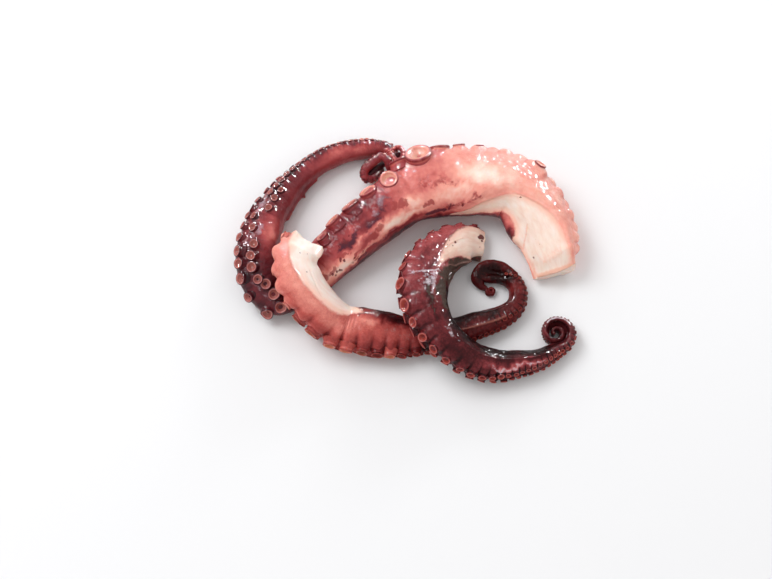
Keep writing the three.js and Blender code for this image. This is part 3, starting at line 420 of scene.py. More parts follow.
def smoothNoise(points, size, seed):
    # value noise: random numbers on a lattice of that size, blended smoothly, from -1 to 1; the
    # numbers come from the lattice point alone, mixed by large primes
    q = points / size
    cell = np.floor(q).astype(np.int64)
    f = q - cell
    f = f * f * (3 - 2 * f)
    total = np.zeros(points.shape[:-1])
    for corner in np.ndindex(2, 2, 2):
        h = (cell + np.array(corner)) * np.array([73856093, 19349663, 83492791])
        h = (h[..., 0] ^ h[..., 1] ^ h[..., 2] ^ (seed * 668265263)) & 0x7FFFFFFF
        h = ((h ^ (h >> 13)) * 1274126177) & 0x7FFFFFFF
        h = ((h ^ (h >> 16)) & 0xFFFF) / 65535
        weight = np.ones(points.shape[:-1])
        for axis in range(3):
            weight = weight * (f[..., axis] if corner[axis] else 1 - f[..., axis])
        total += h * weight
    return 2 * total - 1


def smoothStep(low, high, value):
    # 0 up to low, 1 from high on, and a smooth S between
    t = np.clip((value - low) / (high - low), 0, 1)
    return t * t * (3 - 2 * t)


def normalised(v):
    # the same directions with length 1
    return v / np.maximum(np.linalg.norm(v, axis=-1, keepdims=True), 1e-9)


def between(ends, part):
    # from the first end at 0 to the second at 1
    return ends[0] + (ends[1] - ends[0]) * part


def apart(angle, turn):
    # degrees from a turn to an angle, from -180 to 180
    return (angle - turn + 180) % 360 - 180


def coilRows(coil):
    # a flat spiral whose sizes fall evenly from the first section to the last
    part = np.arange(coil["sections"] + 1) / coil["sections"]
    angle = np.radians(coil["start"] + 360 * coil["turns"] * part)
    radius = between(coil["radius"], part ** 0.85)
    return np.stack([coil["centre"][0] + radius * np.cos(angle),
                     coil["centre"][1] + radius * np.sin(angle), 0 * part,
                     between(coil["width"], part), between(coil["height"], part),
                     0 * part + coil["roll"], between(coil["sucker"], part)], 1)


def measureArm(arm):
    # fine rows of the arm with the distance along its plan, and the frame of every section
    rows = np.array(arm["sections"], float)
    if "coil" in arm:
        rows = np.vstack([rows, coilRows(arm["coil"])])
    fine = throughRows(rows, np.linspace(0, len(rows) - 1, (len(rows) - 1) * fineRows + 1))
    step = np.hypot(np.diff(fine[:, 0]), np.diff(fine[:, 1]))
    distance = np.concatenate([[0], np.cumsum(step)])
    centre = fine[:, :3].copy()
    centre[:, 2] += centreShare * fine[:, 4]
    along = normalised(np.gradient(centre, axis=0))
    side = normalised(np.cross(along, [0, 0, 1.0]))
    rise = np.cross(side, along)
    table = np.hstack([fine, centre, along, side, rise])
    return distance, table


def sectionAt(arm, distance):
    # the arm's sizes and frame at any distances, straight between the fine rows
    known, table = arm["measure"]
    row = np.stack([np.interp(distance, known, table[:, c]) for c in range(table.shape[1])], -1)
    return {"under": row[..., 2], "width": row[..., 3], "height": row[..., 4],
            "centre": row[..., 7:10], "along": normalised(row[..., 10:13]),
            "side": normalised(row[..., 13:16]), "rise": normalised(row[..., 16:19])}


def rimPoint(angle, width, height):
    # superellipse: |cos|^p + |sin|^p = 1, stretched to the section's width and height
    c, s = np.cos(angle), np.sin(angle)
    full = (np.abs(c) ** sectionPower + np.abs(s) ** sectionPower) ** (-1 / sectionPower)
    return c * full * width / 2, s * full * height * bellyShare


def cutSpan(arm, distance):
    # the middle and half of the angles between which the slanting cut is straight
    cut = arm["cut"]
    near = 1 - distance / cut["length"]
    middle = cut["angle"] + cut["turn"] * np.clip(1 - near, 0, 1) ** 2
    half = np.degrees(np.arccos(1 - cut["depth"] * np.clip(near, 0, 1) ** cut["power"]))
    return near, middle, half


def patchSum(patches, distance, angle):
    # the strongest of soft oval patches, each a Gaussian of distance and angle
    total = np.zeros(np.broadcast(distance, angle).shape)
    for at, turn, length, spread, amount in patches:
        total = np.maximum(total, amount * np.exp(-((distance - at) / length) ** 2
                                                  - (apart(angle, turn) / spread) ** 2))
    return total


def alongTable(table, distance, column=1):
    # a table's column at any distances, straight between its rows
    table = np.array(table, float)
    return np.interp(distance, table[:, 0], table[:, column])


def pigmentOf(arm, distance, angle):
    # how dark the skin is: by distance, with darker and with cream patches
    tone = alongTable(arm["pigment"], distance) + patchSum(arm["dark"], distance, angle)
    return tone - 0.5 * patchSum(arm["cream"], distance, angle)


def addStrokes(arm, distance, angle, radius, fields):
    # each stroke is a straight line over the unrolled skin; what it raises and colours falls
    # off as a Gaussian of the distance from it. A spot falls off faster, from a point.
    push = np.zeros(angle.shape)
    for start, startTurn, stop, stopTurn, wide, high, key, amount in arm["strokes"]:
        around = apart(angle, startTurn) * np.pi / 180 * radius
        toAround = (stopTurn - startTurn) * np.pi / 180 * radius
        length = (stop - start) ** 2 + toAround ** 2
        part = np.clip(((distance - start) * (stop - start) + around * toAround) / length, 0, 1)
        away = np.hypot(distance - start - part * (stop - start), around - part * toAround)
        push += high * np.exp(-(away / wide) ** 2)
        fields[key] = np.maximum(fields[key], amount * np.exp(-(away / (strokeSpread * wide)) ** 2))
    for at, turn, size in arm["spots"]:
        away = np.hypot(distance - at, apart(angle, turn) * np.pi / 180 * radius)
        fields["spot"] = np.maximum(fields["spot"], np.exp(-(away / size) ** 4))
    return push


def cupList(arm):
    # named suckers, and the rule's: alternate rows, spaced by the sucker size along the arm
    known, table = arm["measure"]
    rng = np.random.default_rng(arm["seed"])
    cups = [list(row) for row in arm["namedCups"]]
    size = table[:, 6] * alongTable(arm["cupScale"], known)
    step = np.maximum(size * suckerPitch / 2, leastStep)
    count = np.concatenate([[0], np.cumsum(np.diff(known) / step[1:])])
    places = np.interp(np.arange(1, int(count[-1])), count, known)
    for i, place in enumerate(places):
        near, middle, half = cutSpan(arm, place)
        roll = np.interp(place, known, table[:, 5]) + alongTable(arm.get("rowTurn", [[0, 0]]), place)
        for low, high, wanted, spread in arm["ruleSpans"]:
            row = 1 if i % 2 else -1
            turn = row * spread
            hidden = near > 0 and abs(roll + turn - middle) < half + cutMargin
            if low <= place < high and wanted * row >= 0 and not hidden:
                cups.append([place, roll + turn, np.interp(place, known, size), roll + turn * (1 - cupTilt)])
    cups = np.array(cups)
    named = len(arm["namedCups"])
    cups[:named, 2] *= alongTable(arm["cupScale"], cups[:named, 0])
    # chance unevenness, less on the large suckers: size, aim, lean, lift, and 3 to 5 the shape
    shake = rng.normal(size=(len(cups), 6)) * np.clip(1.9 - cups[:, 2] / 10, 0.3, 1)[:, None]
    cups[:, 2] *= 1 + 0.05 * shake[:, 0]
    cups[:, 3] += 5 * shake[:, 1]
    return cups, shake


def bodyRows(arm):
    # distances of the body's rings: closer where the arm is thinner
    known, table = arm["measure"]
    step = np.clip(table[:, 3] * ringShare, *ringLimits) * arm["ringStep"]
    count = np.concatenate([[0], np.cumsum(np.diff(known) / step[1:])])
    return np.interp(np.linspace(0, count[-1], int(round(count[-1])) + 1), count, known)


def ringAngles(arm, distance):
    # column angles: even round the ring, but squeezed so that a fixed share of the columns
    # lies across the slanting cut and one column runs along each of its edges
    columns = arm["columns"]
    base = (np.arange(columns) + 0.5) / columns * 360 - 180
    edge = base[np.argmin(np.abs(base - cutColumns))]
    near, middle, half = cutSpan(arm, distance)
    after = smoothStep(0, columnFade, distance - arm["cut"]["length"])
    target = np.where(near > 0, np.maximum(half, narrowCut), narrowCut + (edge - narrowCut) * after)
    target = target[:, None]
    inside = base / edge * target
    outside = np.sign(base) * (target + (np.abs(base) - edge) * (180 - target) / (180 - edge))
    relative = np.where(np.abs(base) <= edge, inside, outside)
    return (relative + middle[:, None]) % 360, relative


def fleshEdge(arm, distance, angle, radius):
    # millimetres into the bare flesh from the edge of the skin, and below 0 on the skin
    first, last = (alongTable(arm["flesh"], distance, column)[:, None] for column in (1, 2))
    inside = np.minimum(angle - first, last - angle) * np.pi / 180 * radius
    return np.minimum(inside, arm["flesh"][-1][0] - distance[:, None])


def wander(arm, distance, angle, radius):
    # where each point looks its patches up: moved by smooth noise, so that none is a plain oval
    turn = np.radians(angle)
    place = np.stack([distance, np.cos(turn) * radius, np.sin(turn) * radius], -1)
    seed = arm["seed"] + 20
    move = [sum(shift * smoothNoise(place, size, seed + 3 * i + k)
                for i, (shift, size) in enumerate(wanders)) for k in (0, 1)]
    return distance + move[0], angle + np.degrees(move[1] / radius)


def cutAcross(arm, distance, relative, width, height, x, y):
    # the points of the slanting cut: straight between its two edges, with the flesh's bulge
    near, middle, half = (value[:, None] for value in cutSpan(arm, distance))
    inCut = (near > 0) & (np.abs(relative) < half)
    across = np.clip(relative / np.maximum(half, 0.5), -1, 1)
    startX, startY = rimPoint(np.radians(middle - half), width, height)
    endX, endY = rimPoint(np.radians(middle + half), width, height)
    chord = np.hypot(endX - startX, endY - startY)
    swell = arm["cut"]["bulge"] * np.clip(chord / fullChord, 0, 1) * (1 - np.abs(across) ** 2.4)
    outX, outY = np.cos(np.radians(middle)), np.sin(np.radians(middle))
    x = np.where(inCut, startX + (endX - startX) * (across + 1) / 2 + outX * swell, x)
    y = np.where(inCut, startY + (endY - startY) * (across + 1) / 2 + outY * swell, y)
    return x, y


def tornEnd(arm, distance, angle):
    # how far the torn edge of the cut end reaches out: fine noise and the named points
    tear = 0.35 * smoothNoise(np.radians(angle)[..., None] * [5, 5, 5], 0.6, arm["seed"] + 9)
    for turn, length, wide in arm["fray"]:
        tear = tear + length * np.exp(-(apart(angle, turn) / wide) ** 2)
    return tear * np.clip(1 - distance / tearReach, 0, 1)[:, None] ** 2


def addFolds(arm, distance, angle, radius, small, push):
    # hollows are flat-bottomed dents; creases are waves that wander, each kind within its patch
    for at, turn, length, wide, deep in arm["hollows"]:
        push -= deep * np.exp(-np.abs((distance - at) / length) ** 3
                              - np.abs(apart(angle, turn) / wide) ** 3)
    for at, turn, length, wide, pitch, deep, lengthwise in arm["creases"]:
        mask = patchSum([[at, turn, length, wide, 1]], distance, angle)
        around = np.radians(angle) * radius
        bend = smoothNoise(np.stack([distance * 0.4, around * 0.4, 0 * distance], -1), 3.2, arm["seed"] + 5)
        wave = np.cos(2 * np.pi * (around if lengthwise else distance) / pitch + 3.4 * bend)
        push += deep * mask * np.sign(wave) * np.abs(wave) ** 0.7 * small
    return push


def sweptBody(arm, distance, angle, relative, section, width, height):
    # superellipse sections on their frames, flat where they rest, cut, tapered and torn
    x, y = rimPoint(np.radians(angle), width, height)
    x, y = cutAcross(arm, distance, relative, width, height, x, y)
    points = (section["centre"][:, None] + section["side"][:, None] * x[..., None]
              + section["rise"][:, None] * y[..., None])
    under = section["under"][:, None]
    points[..., 2] = np.maximum(points[..., 2], under)
    reach, share = arm["taper"]
    thin = share + (1 - share) * smoothStep(-0.35, 1, distance / reach)[:, None]
    points[..., 2] = under + (points[..., 2] - under) * np.where(distance[:, None] < reach, thin, 1)
    points -= section["along"][0] * tornEnd(arm, distance, angle)[..., None]
    return points, x, y


def bodySurface(arm):
    # the swept body, with lumps, sucker lobes, creases and strokes pushed out along its normals,
    # and what the material reads at each point
    seed = arm["seed"]
    distance = bodyRows(arm)
    section = sectionAt(arm, distance)
    angle, relative = ringAngles(arm, distance)
    spread = distance[:, None] + 0 * angle
    width, height = section["width"][:, None], section["height"][:, None]
    radius = (width + height) / 4
    points, x, y = sweptBody(arm, distance, angle, relative, section, width, height)
    normals = surfaceNormals(points, section["centre"][:, None])
    edge = fleshEdge(arm, distance, angle, radius)
    skin = smoothStep(*skinEdge, edge)
    lookAt, lookTurn = wander(arm, spread, angle, radius)
    fields = {key: patchSum(arm[key], lookAt, lookTurn) for key in maskNames}
    fields.update(seam=0 * spread, spot=0 * spread, zone=3 + 0 * spread, cutEdge=edge / arm["fleshSoft"])
    small = np.clip(radius / fullRadius, 0.2, 1)
    push = sum(high * smoothNoise(points, size, seed + k) for k, (high, size) in enumerate(lumps)) * small
    push = push * between((fleshRelief, 1), skin)
    push += lipHeight * np.exp(-((edge - lipPlace) / lipWide) ** 2) * small
    ridge, cleftShading = pillars(arm, distance, angle, radius)
    push += ridge * between((fleshRidge, 1), skin)
    push = addFolds(arm, spread, angle, radius, small, push)
    push += addStrokes(arm, spread, angle, radius, fields)
    # painted shade: the clefts beside the lobes are darkened in the skin's own colour
    fields["pigment"] = pigmentOf(arm, lookAt, lookTurn) + cleftShadeTone * cleftShading * skin
    fields["unbent"] = np.stack([x, y, spread], -1) * metre
    points = points + normals * push[..., None]
    points[..., 2] = np.maximum(points[..., 2], section["under"][:, None])
    return points, fields, section


def surfaceNormals(points, centres):
    # cross product of the steps along and around, turned to point away from the centre line
    stepAlong = np.gradient(points, axis=0)
    stepAround = np.roll(points, -1, 1) - np.roll(points, 1, 1)
    normals = normalised(np.cross(stepAlong, stepAround))
    if np.sum(normals * (points - centres)) < 0:
        normals = -normals
    return normals


def pillars(arm, distance, angle, radius):
    # a rounded lobe round every sucker's foot, drawn out down the flank like a low buttress, and
    # the thin line of painted shade in the cleft along both sides of each
    ridge, cleftShading = np.zeros(angle.shape), np.zeros(angle.shape)
    known, table = arm["measure"]
    for place, turn, diameter, aim in arm["cups"][0]:
        rows = np.abs(distance - place) < 1.1 * diameter
        if not rows.any():
            continue
        high, power, flankReach, dark = (float(alongTable(arm[key], place))
                                         for key in ("pillar", "lobe", "flank", "cleftShade"))
        gap = apart(angle[rows], turn) * np.pi / 180 * radius[rows]
        outward = gap * (1 if turn > np.interp(place, known, table[:, 5]) else -1)
        reach = np.where(outward > 0, flankReach, lobeInner) * diameter
        ahead = np.abs(distance[rows, None] - place) / diameter
        flank = np.exp(-(np.abs(gap) / reach) ** 2.6)
        lobe = np.clip(1 - (ahead / lobeReach) ** 2, 0, 1) ** power
        line = np.exp(-((ahead - cleftShadePlace) / cleftShadeWide) ** 2)
        ridge[rows] = np.maximum(ridge[rows], high * diameter * flank * lobe)
        cleftShading[rows] = np.maximum(cleftShading[rows], flank * line * dark)
    return ridge, cleftShading


def capRings(ring, along, rings, push):
    # an end closed by shrinking copies of its ring on a quarter circle, to a pole
    middle = ring.mean(0)
    turn = np.linspace(0, 1, rings + 1)[1:-1] * np.pi / 2
    scale, reach = np.cos(turn) ** 0.55, np.sin(turn) * push
    copies = middle + (ring - middle)[None] * scale[:, None, None] + along * reach[:, None, None]
    return copies, middle + along * push


def gridMesh(name, rings, firstPole, lastPole, attributes, material):
    # closed tube of rings with a fan on a pole at each end; attributes are given for each vertex
    count, around = rings.shape[:2]
    vertices = np.vstack([rings.reshape(-1, 3), firstPole, lastPole]) * metre
    vertices[:, :2] += np.array(planShift) * metre
    a = (np.arange(count - 1)[:, None] * around + np.arange(around)).ravel()
    b = (np.arange(count - 1)[:, None] * around + (np.arange(around) + 1) % around).ravel()
    quads = np.stack([a, a + around, b + around, b], 1)
    ring = np.arange(around)
    pole = np.full(around, count * around)
    start = (count - 1) * around
    first = np.stack([ring, (ring + 1) % around, pole], 1)
    last = np.stack([start + (ring + 1) % around, start + ring, pole + 1], 1)
    faces = quads.tolist() + first.tolist() + last.tolist()
    return makeMesh(name, vertices, faces, attributes, material)


def makeMesh(name, vertices, faces, attributes, material):
    # a smooth mesh object that carries what its material reads at each vertex
    mesh = bpy.data.meshes.new(name)
    mesh.from_pydata(vertices.tolist(), [], faces)
    mesh.polygons.foreach_set("use_smooth", np.ones(len(mesh.polygons), bool))
    for key, values in attributes.items():
        values = np.asarray(values, np.float32)
        kind = "FLOAT_VECTOR" if values.ndim == 2 else "FLOAT"
        layer = mesh.attributes.new(key, kind, "POINT")
        layer.data.foreach_set("vector" if values.ndim == 2 else "value", values.ravel())
    mesh.materials.append(material)
    mesh.update()
    piece = bpy.data.objects.new(name, mesh)
    bpy.context.scene.collection.objects.link(piece)
    return piece


def withPoles(field, heads, tails):
    # a field of the body's grid, repeated on the cap rings and given to the two poles
    rows = np.concatenate([np.repeat(field[:1], heads, 0), field, np.repeat(field[-1:], tails, 0)])
    flat = rows.reshape(-1, *rows.shape[2:])
    return np.concatenate([flat, field[:1].mean(1), field[-1:].mean(1)])


def armBody(arm, material):
    # the body with its two ends closed: the cut end nearly flat and rough, the tip round
    points, fields, section = bodySurface(arm)
    heads, tails = 9, 6
    first, firstPole = capRings(points[0], -section["along"][0], heads + 1, 0.5)
    last, lastPole = capRings(points[-1], section["along"][-1], tails + 1, section["width"][-1] / 4)
    rough = 0.5 * smoothNoise(first, 3.2, arm["seed"] + 7) + 0.4 * smoothNoise(first, 1.4, arm["seed"] + 8)
    first = first - section["along"][0] * (rough * np.linspace(0.2, 0.6, heads)[:, None])[..., None]
    rings = np.concatenate([first[::-1], points, last])
    rings[:, :, 2] = np.maximum(rings[:, :, 2], 0)
    attributes = {key: withPoles(field, heads, tails) for key, field in fields.items()}
    # the cut end is bare flesh all over, out to its pole
    flesh = attributes["cutEdge"]
    capped = heads * points.shape[1]
    flesh[:capped] = np.maximum(flesh[:capped], 2.5)
    flesh[-2] = 4
    return gridMesh(arm["name"] + "Body", rings, firstPole[None], lastPole[None], attributes, material)


def cupFrames(arm):
    # the place of every sucker on its lobe, and its axes ahead, across and outward
    cups, shake = arm["cups"]
    section = sectionAt(arm, cups[:, 0])
    aim = np.radians(cups[:, 3])
    x, y = rimPoint(np.radians(cups[:, 1]), section["width"], section["height"])
    foot = section["centre"] + section["side"] * x[:, None] + section["rise"] * y[:, None]
    outward = normalised(section["side"] * np.cos(aim)[:, None] + section["rise"] * np.sin(aim)[:, None]
                         + section["along"] * (0.08 * shake[:, 2])[:, None])
    across = normalised(np.cross(outward, section["along"]))
    lift = alongTable(arm["cupLift"], cups[:, 0]) + alongTable(arm["pillar"], cups[:, 0])
    foot = foot + outward * (cups[:, 2] * (lift + 0.02 * shake[:, 3]))[:, None]
    return foot, np.cross(across, outward), across, outward


def cupShape(rings, turn, bowl, shake):
    # a sucker's radius and height over its rings and turns, in diameters, and each ring's zone:
    # the profile, a little oval, tilted and wavy above the stalk, with fine grooves in the bowl
    profile = throughRows(cupProfile, np.linspace(0, len(cupProfile) - 1, rings))
    r, zone = np.maximum(profile[:, 0], 0)[:, None], profile[:, 2][:, None]
    h = profile[:, 1][:, None] * (1 - bowl) + profile[:, 3][:, None] * bowl
    a, b, c = (shake[:, k][:, None, None] for k in (3, 4, 5))
    oval = 1 + 0.05 * a * np.cos(2 * turn + 3 * b) + 0.035 * c * np.cos(3 * turn + 5 * a)
    tilt = 0.028 * b * np.cos(turn + 4 * c) + 0.02 * c * np.cos(2 * turn + 7 * b)
    grooves = 0.007 * np.cos(22 * turn + 2 * np.sin(3 * turn)) * np.exp(-((zone - 0.58) / 0.2) ** 2)
    above = np.clip((h + 0.1) / 0.3, 0, 1)
    return r * (1 + (oval - 1) * above), h + tilt * above + grooves, zone


def cupFaces(n, rings, sides, offset):
    # quads between the rings from the second on, and one face across the middle and one below
    k = np.arange(1, rings - 1)[:, None] * sides
    j = np.arange(sides)
    quad = np.stack([k + j, k + (j + 1) % sides, k + sides + (j + 1) % sides, k + sides + j], -1)
    base = offset + np.arange(n)[:, None, None] * rings * sides
    faces = (quad.reshape(1, -1, 4) + base).reshape(-1, 4)[:, ::-1].tolist()
    faces += (sides + j + base).reshape(n, sides).tolist()
    faces += ((rings - 1) * sides + j + base).reshape(n, sides)[:, ::-1].tolist()
    return faces


def armCups(arm, material):
    # every sucker of the arm in one mesh, finer the larger it is
    cups, shake = arm["cups"]
    foot, ahead, across, outward = cupFrames(arm)
    pigment = alongTable(arm["pigment"], cups[:, 0])
    footTone = pigmentOf(arm, cups[:, 0], cups[:, 1]) - pigment + stalkTone
    masks = {key: patchSum(arm[key], cups[:, 0], cups[:, 1]) for key in maskNames}
    vertices, faces, columns = [], [], {}
    offset = 0
    for low, high, rings, sides in cupGrades:
        chosen = np.where((cups[:, 2] >= low) & (cups[:, 2] < high))[0]
        n = len(chosen)
        if n == 0:
            continue
        turn = np.arange(sides) / sides * 2 * np.pi
        bowl = alongTable(arm["bowl"], cups[chosen, 0])[:, None, None]
        radius, level, zone = cupShape(rings, turn, bowl, shake[chosen])
        start, forward, sideways, out = (values[chosen][:, None, None]
                                         for values in (foot, ahead, across, outward))
        place = start + cups[chosen, 2][:, None, None, None] * (
            (radius * np.cos(turn))[..., None] * forward
            + (radius * np.sin(turn))[..., None] * sideways + level[..., None] * out)
        vertices.append(place.reshape(-1, 3))
        faces += cupFaces(n, rings, sides, offset)
        offset += n * rings * sides
        tone = pigment[chosen][:, None, None] + 0.05 * shake[chosen, 4][:, None, None]
        tone = tone + footTone[chosen][:, None, None] * smoothStep(*stalkZones, zone)
        values = {"zone": zone[None], "pigment": tone, "cutEdge": -20.0, "seam": 0.0, "spot": 0.0}
        values.update((key, mask[chosen][:, None, None]) for key, mask in masks.items())
        for key, value in values.items():
            columns.setdefault(key, []).append(np.broadcast_to(value, (n, rings, sides)).reshape(-1))
        # each sucker looks its strands up somewhere else
        unbent = place - start + chosen[:, None, None, None] * 13.7
        columns.setdefault("unbent", []).append(unbent.reshape(-1, 3) * metre)
    vertices = np.vstack(vertices)
    vertices[:, 2] = np.maximum(vertices[:, 2], 0.05)
    vertices[:, :2] += planShift
    attributes = {key: np.concatenate(values) for key, values in columns.items()}
    piece = makeMesh(arm["name"] + "Suckers", vertices * metre, faces, attributes, material)
    dropLoose(piece)
    return piece


def tube(name, path, radii, columns, fields, material, beads=None):
    # a round tube through the path's points, with two rows of beads pushed out of its upper side
    rows, caps = 160, 4
    at = np.linspace(0, len(path) - 1, rows)
    centre = throughRows(np.array(path, float), at)
    along = normalised(np.gradient(centre, axis=0))
    side = normalised(np.cross(along, [0, 0, 1.0]))
    rise = np.cross(side, along)
    turn = np.arange(columns) / columns * 2 * np.pi
    radius = np.interp(at, [0, len(path) - 1], radii)[:, None] + 0 * turn
    length = np.concatenate([[0], np.cumsum(np.linalg.norm(np.diff(centre, axis=0), axis=1))])[:, None]
    top = 0 * radius
    if beads:
        for row, aim in enumerate(beads["angles"]):
            phase = (length / beads["pitch"] + row / 2) % 1 - 0.5
            around = (turn - np.radians(aim) + np.pi) % (2 * np.pi) * radius - np.pi * radius
            away = np.hypot(phase * beads["pitch"], around)
            top = np.maximum(top, np.sqrt(np.clip(1 - (away / beads["size"]) ** 2, 0, 1)))
        radius = radius + beads["height"] * top
    rings = (centre[:, None] + side[:, None] * (radius * np.cos(turn))[..., None]
             + rise[:, None] * (radius * np.sin(turn))[..., None])
    first, firstPole = capRings(rings[0], -along[0], caps + 1, radii[0] * 0.8)
    last, lastPole = capRings(rings[-1], along[-1], caps + 1, radii[1] * 0.8)
    rings = np.concatenate([first[::-1], rings, last])
    rings[..., 2] = np.maximum(rings[..., 2], 0.1)
    grid = {key: value + 0 * radius for key, value in fields.items()}
    grid["pigment"] = grid["pigment"] - 0.22 * top
    grid["unbent"] = np.stack([radius * np.cos(turn), radius * np.sin(turn), length + 0 * radius], -1)
    grid["unbent"] *= metre
    attributes = {key: withPoles(values, caps, caps) for key, values in grid.items()}
    return gridMesh(name, rings, firstPole[None], lastPole[None], attributes, material)


def dropLoose(piece):
    # the ring of equal points at each cup's middle has no face and is taken out
    mesh = piece.data
    used = np.zeros(len(mesh.vertices), bool)
    loops = np.zeros(len(mesh.loops), np.int32)
    mesh.loops.foreach_get("vertex_index", loops)
    used[loops] = True
    if used.all():
        return
    work = bmesh.new()
    work.from_mesh(mesh)
    work.verts.ensure_lookup_table()
    bmesh.ops.delete(work, geom=[work.verts[i] for i in np.where(~used)[0]], context="VERTS")
    work.to_mesh(mesh)
    work.free()


def linear(code):
    # sRGB hex to linear colour
    value = np.array([int(code[k:k + 2], 16) for k in (1, 3, 5)]) / 255
    value = np.where(value <= 0.04045, value / 12.92, ((value + 0.055) / 1.055) ** 2.4)
    return (*value, 1.0)


def addNode(tree, kind, settings=None, links=None, stops=None):
    # one node with its settings, its inputs as values or sockets, and a colour ramp's stops
    node = tree.nodes.new(kind)
    for key, value in (settings or {}).items():
        setattr(node, key, value)
    for key, value in (links or {}).items():
        if isinstance(value, bpy.types.NodeSocket):
            tree.links.new(value, node.inputs[key])
        else:
            node.inputs[key].default_value = value
    if stops:
        elements = node.color_ramp.elements
        while len(elements) < len(stops):
            elements.new(1.0)
        for element, (position, code) in zip(elements, stops):
            element.position = position
            element.color = linear(code)
    return node


def boiledSkin(name, look):
    # boiled octopus skin: a wet film over thin pigmented skin, which lets light into the white
    # flesh below, so it looks soft at the edges and has small sharp highlights
    material = bpy.data.materials.new(name)
    material.use_nodes = True
    tree = material.node_tree
    tree.nodes.clear()
    keys = ("pigment", "blotch", "bruise", "bloom", "seam", "spot", "cutEdge", "zone")
    source = {key: addNode(tree, "ShaderNodeAttribute", {"attribute_name": key}).outputs["Fac"]
              for key in keys}
    unbent = addNode(tree, "ShaderNodeAttribute", {"attribute_name": "unbent"}).outputs["Vector"]
    place = addNode(tree, "ShaderNodeTexCoord").outputs["Object"]
    stretched = addNode(tree, "ShaderNodeMapping", {"vector_type": "TEXTURE"}, {
        "Vector": unbent, "Scale": (1.0, 1.0, 3.5)}).outputs["Vector"]
    # noises by size in millimetres: lumps, mottling, pores, grain, the film's ripples, and the
    # flesh's strands
    for key, where, size, detail in (("broad", place, 12, 3), ("middle", place, 3.6, 4),
                                     ("fine", place, 1.3, 3), ("grain", place, 0.55, 2),
                                     ("ripple", place, 2.3, 1), ("strand", stretched, 2.6, 4)):
        source[key] = addNode(tree, "ShaderNodeTexNoise", None, {
            "Vector": where, "Scale": 1 / (size * metre), "Detail": float(detail)}).outputs["Fac"]

    # factors: a mask made uneven by noises, then a step from low to high, soft or straight
    for key, mask, shares, low, high, top in look["factors"] + sharedFactors:
        value = source[mask]
        for grain, share in shares:
            value = addNode(tree, "ShaderNodeMath", {"operation": "MULTIPLY_ADD"},
                            {0: source[grain], 1: share, 2: value}).outputs[0]
        lift = sum(share for grain, share in shares) / 2
        shape = "LINEAR" if key in ("tone", "ring") else "SMOOTHSTEP"
        source[key] = addNode(tree, "ShaderNodeMapRange", {"interpolation_type": shape}, {
            "Value": value, "From Min": low + lift, "From Max": high + lift,
            "To Max": top}).outputs["Result"]
    # colours: each ramp reads one source, and each layer mixes a second colour over a first
    for key, reads in (("skin", "tone"), ("flesh", "strand"), ("cupPale", "ring"), ("cupDeep", "ring")):
        source[key] = addNode(tree, "ShaderNodeValToRGB", None, {"Fac": source[reads]},
                              look[key]).outputs["Color"]
    for under, over, factor, result in look["layers"]:
        source[result] = addNode(tree, "ShaderNodeMix", {"data_type": "RGBA"}, {
            0: source[factor], 6: source[under],
            7: linear(over) if over.startswith("#") else source[over]}).outputs[2]

    # the relief that breaks up the highlights, weaker on the smooth flesh
    relief = source["middle"]
    for key, share in (("fine", 0.62), ("grain", 0.3)):
        relief = addNode(tree, "ShaderNodeMath", {"operation": "MULTIPLY_ADD"},
                         {0: source[key], 1: share, 2: relief}).outputs[0]
    calm = addNode(tree, "ShaderNodeMapRange", None, {
        "Value": source["bare"], "To Min": 1.0, "To Max": 0.25}).outputs["Result"]
    relief = addNode(tree, "ShaderNodeMath", {"operation": "MULTIPLY"}, {0: relief, 1: calm}).outputs[0]
    bump = addNode(tree, "ShaderNodeBump", None, {
        "Height": relief, "Strength": 1.0, "Distance": look["bump"] * metre}).outputs["Normal"]
    # the film of broth lies smoother than the skin, so its highlights are few and sharp
    film = addNode(tree, "ShaderNodeBump", None, {
        "Height": source["ripple"], "Strength": 1.0, "Distance": look["film"] * metre}).outputs["Normal"]
    wet = addNode(tree, "ShaderNodeMapRange", None, {
        "Value": source["middle"], "From Min": 0.3, "From Max": 0.7,
        "To Min": look["rough"][0], "To Max": look["rough"][1]}).outputs["Result"]
    shader = addNode(tree, "ShaderNodeBsdfPrincipled", None, {
        "Base Color": source["base"], "Roughness": wet, "Normal": bump, "Coat Normal": film, "IOR": 1.40,
        "Specular IOR Level": 0.03, "Subsurface Weight": look["soft"], "Subsurface Radius": (1.0, 0.35, 0.22),
        "Subsurface Scale": 4.0 * metre, "Coat Weight": look["coat"], "Coat Roughness": 0.045,
        "Coat IOR": 1.45})
    addNode(tree, "ShaderNodeOutputMaterial", None, {"Surface": shader.outputs["BSDF"]})
    return material


# a factor is [name, mask, noises with their shares, low, high, top]
sharedFactors = [
    ("seamFlesh", "seam", [("fine", 0.6)], 0.2, 0.9, 0.7),
    ("seamSkin", "seam", [("fine", 0.6)], 0.3, 0.9, 0.5),
    ("bare", "cutEdge", [("fine", 0.5), ("middle", 0.9)], -0.45, 0.45, 1.0),
    ("spotted", "spot", [("grain", 0.6)], 0.3, 0.6, 0.9),
    ("ring", "zone", [], 0.0, 2.0, 1.0),
    ("deepCup", "pigment", [], 0.46, 0.70, 1.0),
    ("cupVeil", "middle", [], 0.40, 0.75, 0.30),
    ("onCup", "zone", [], 1.40, 1.14, 1.0),
]
# a layer is [the lower colour, the colour over it, the factor, the result]
layers = [
    ("skin", "blotchColour", "blotched", "skinA"), ("skinA", "bruiseColour", "bruised", "skinB"),
    ("skinB", "speckColour", "specked", "skinC"), ("skinC", "bloomColour", "bloomed", "skinD"),
    ("skinD", "skinSeam", "seamSkin", "skinE"),
    ("flesh", "fleshRim", "rimmed", "fleshA"), ("fleshA", "seamColour", "seamFlesh", "fleshB"),
    ("skinE", "fleshB", "bare", "body"), ("body", "spotColour", "spotted", "bodyA"),
    ("cupPale", "cupDeep", "deepCup", "cup"), ("cup", "skinD", "cupVeil", "cupA"),
    ("bodyA", "cupA", "onCup", "base"),
]
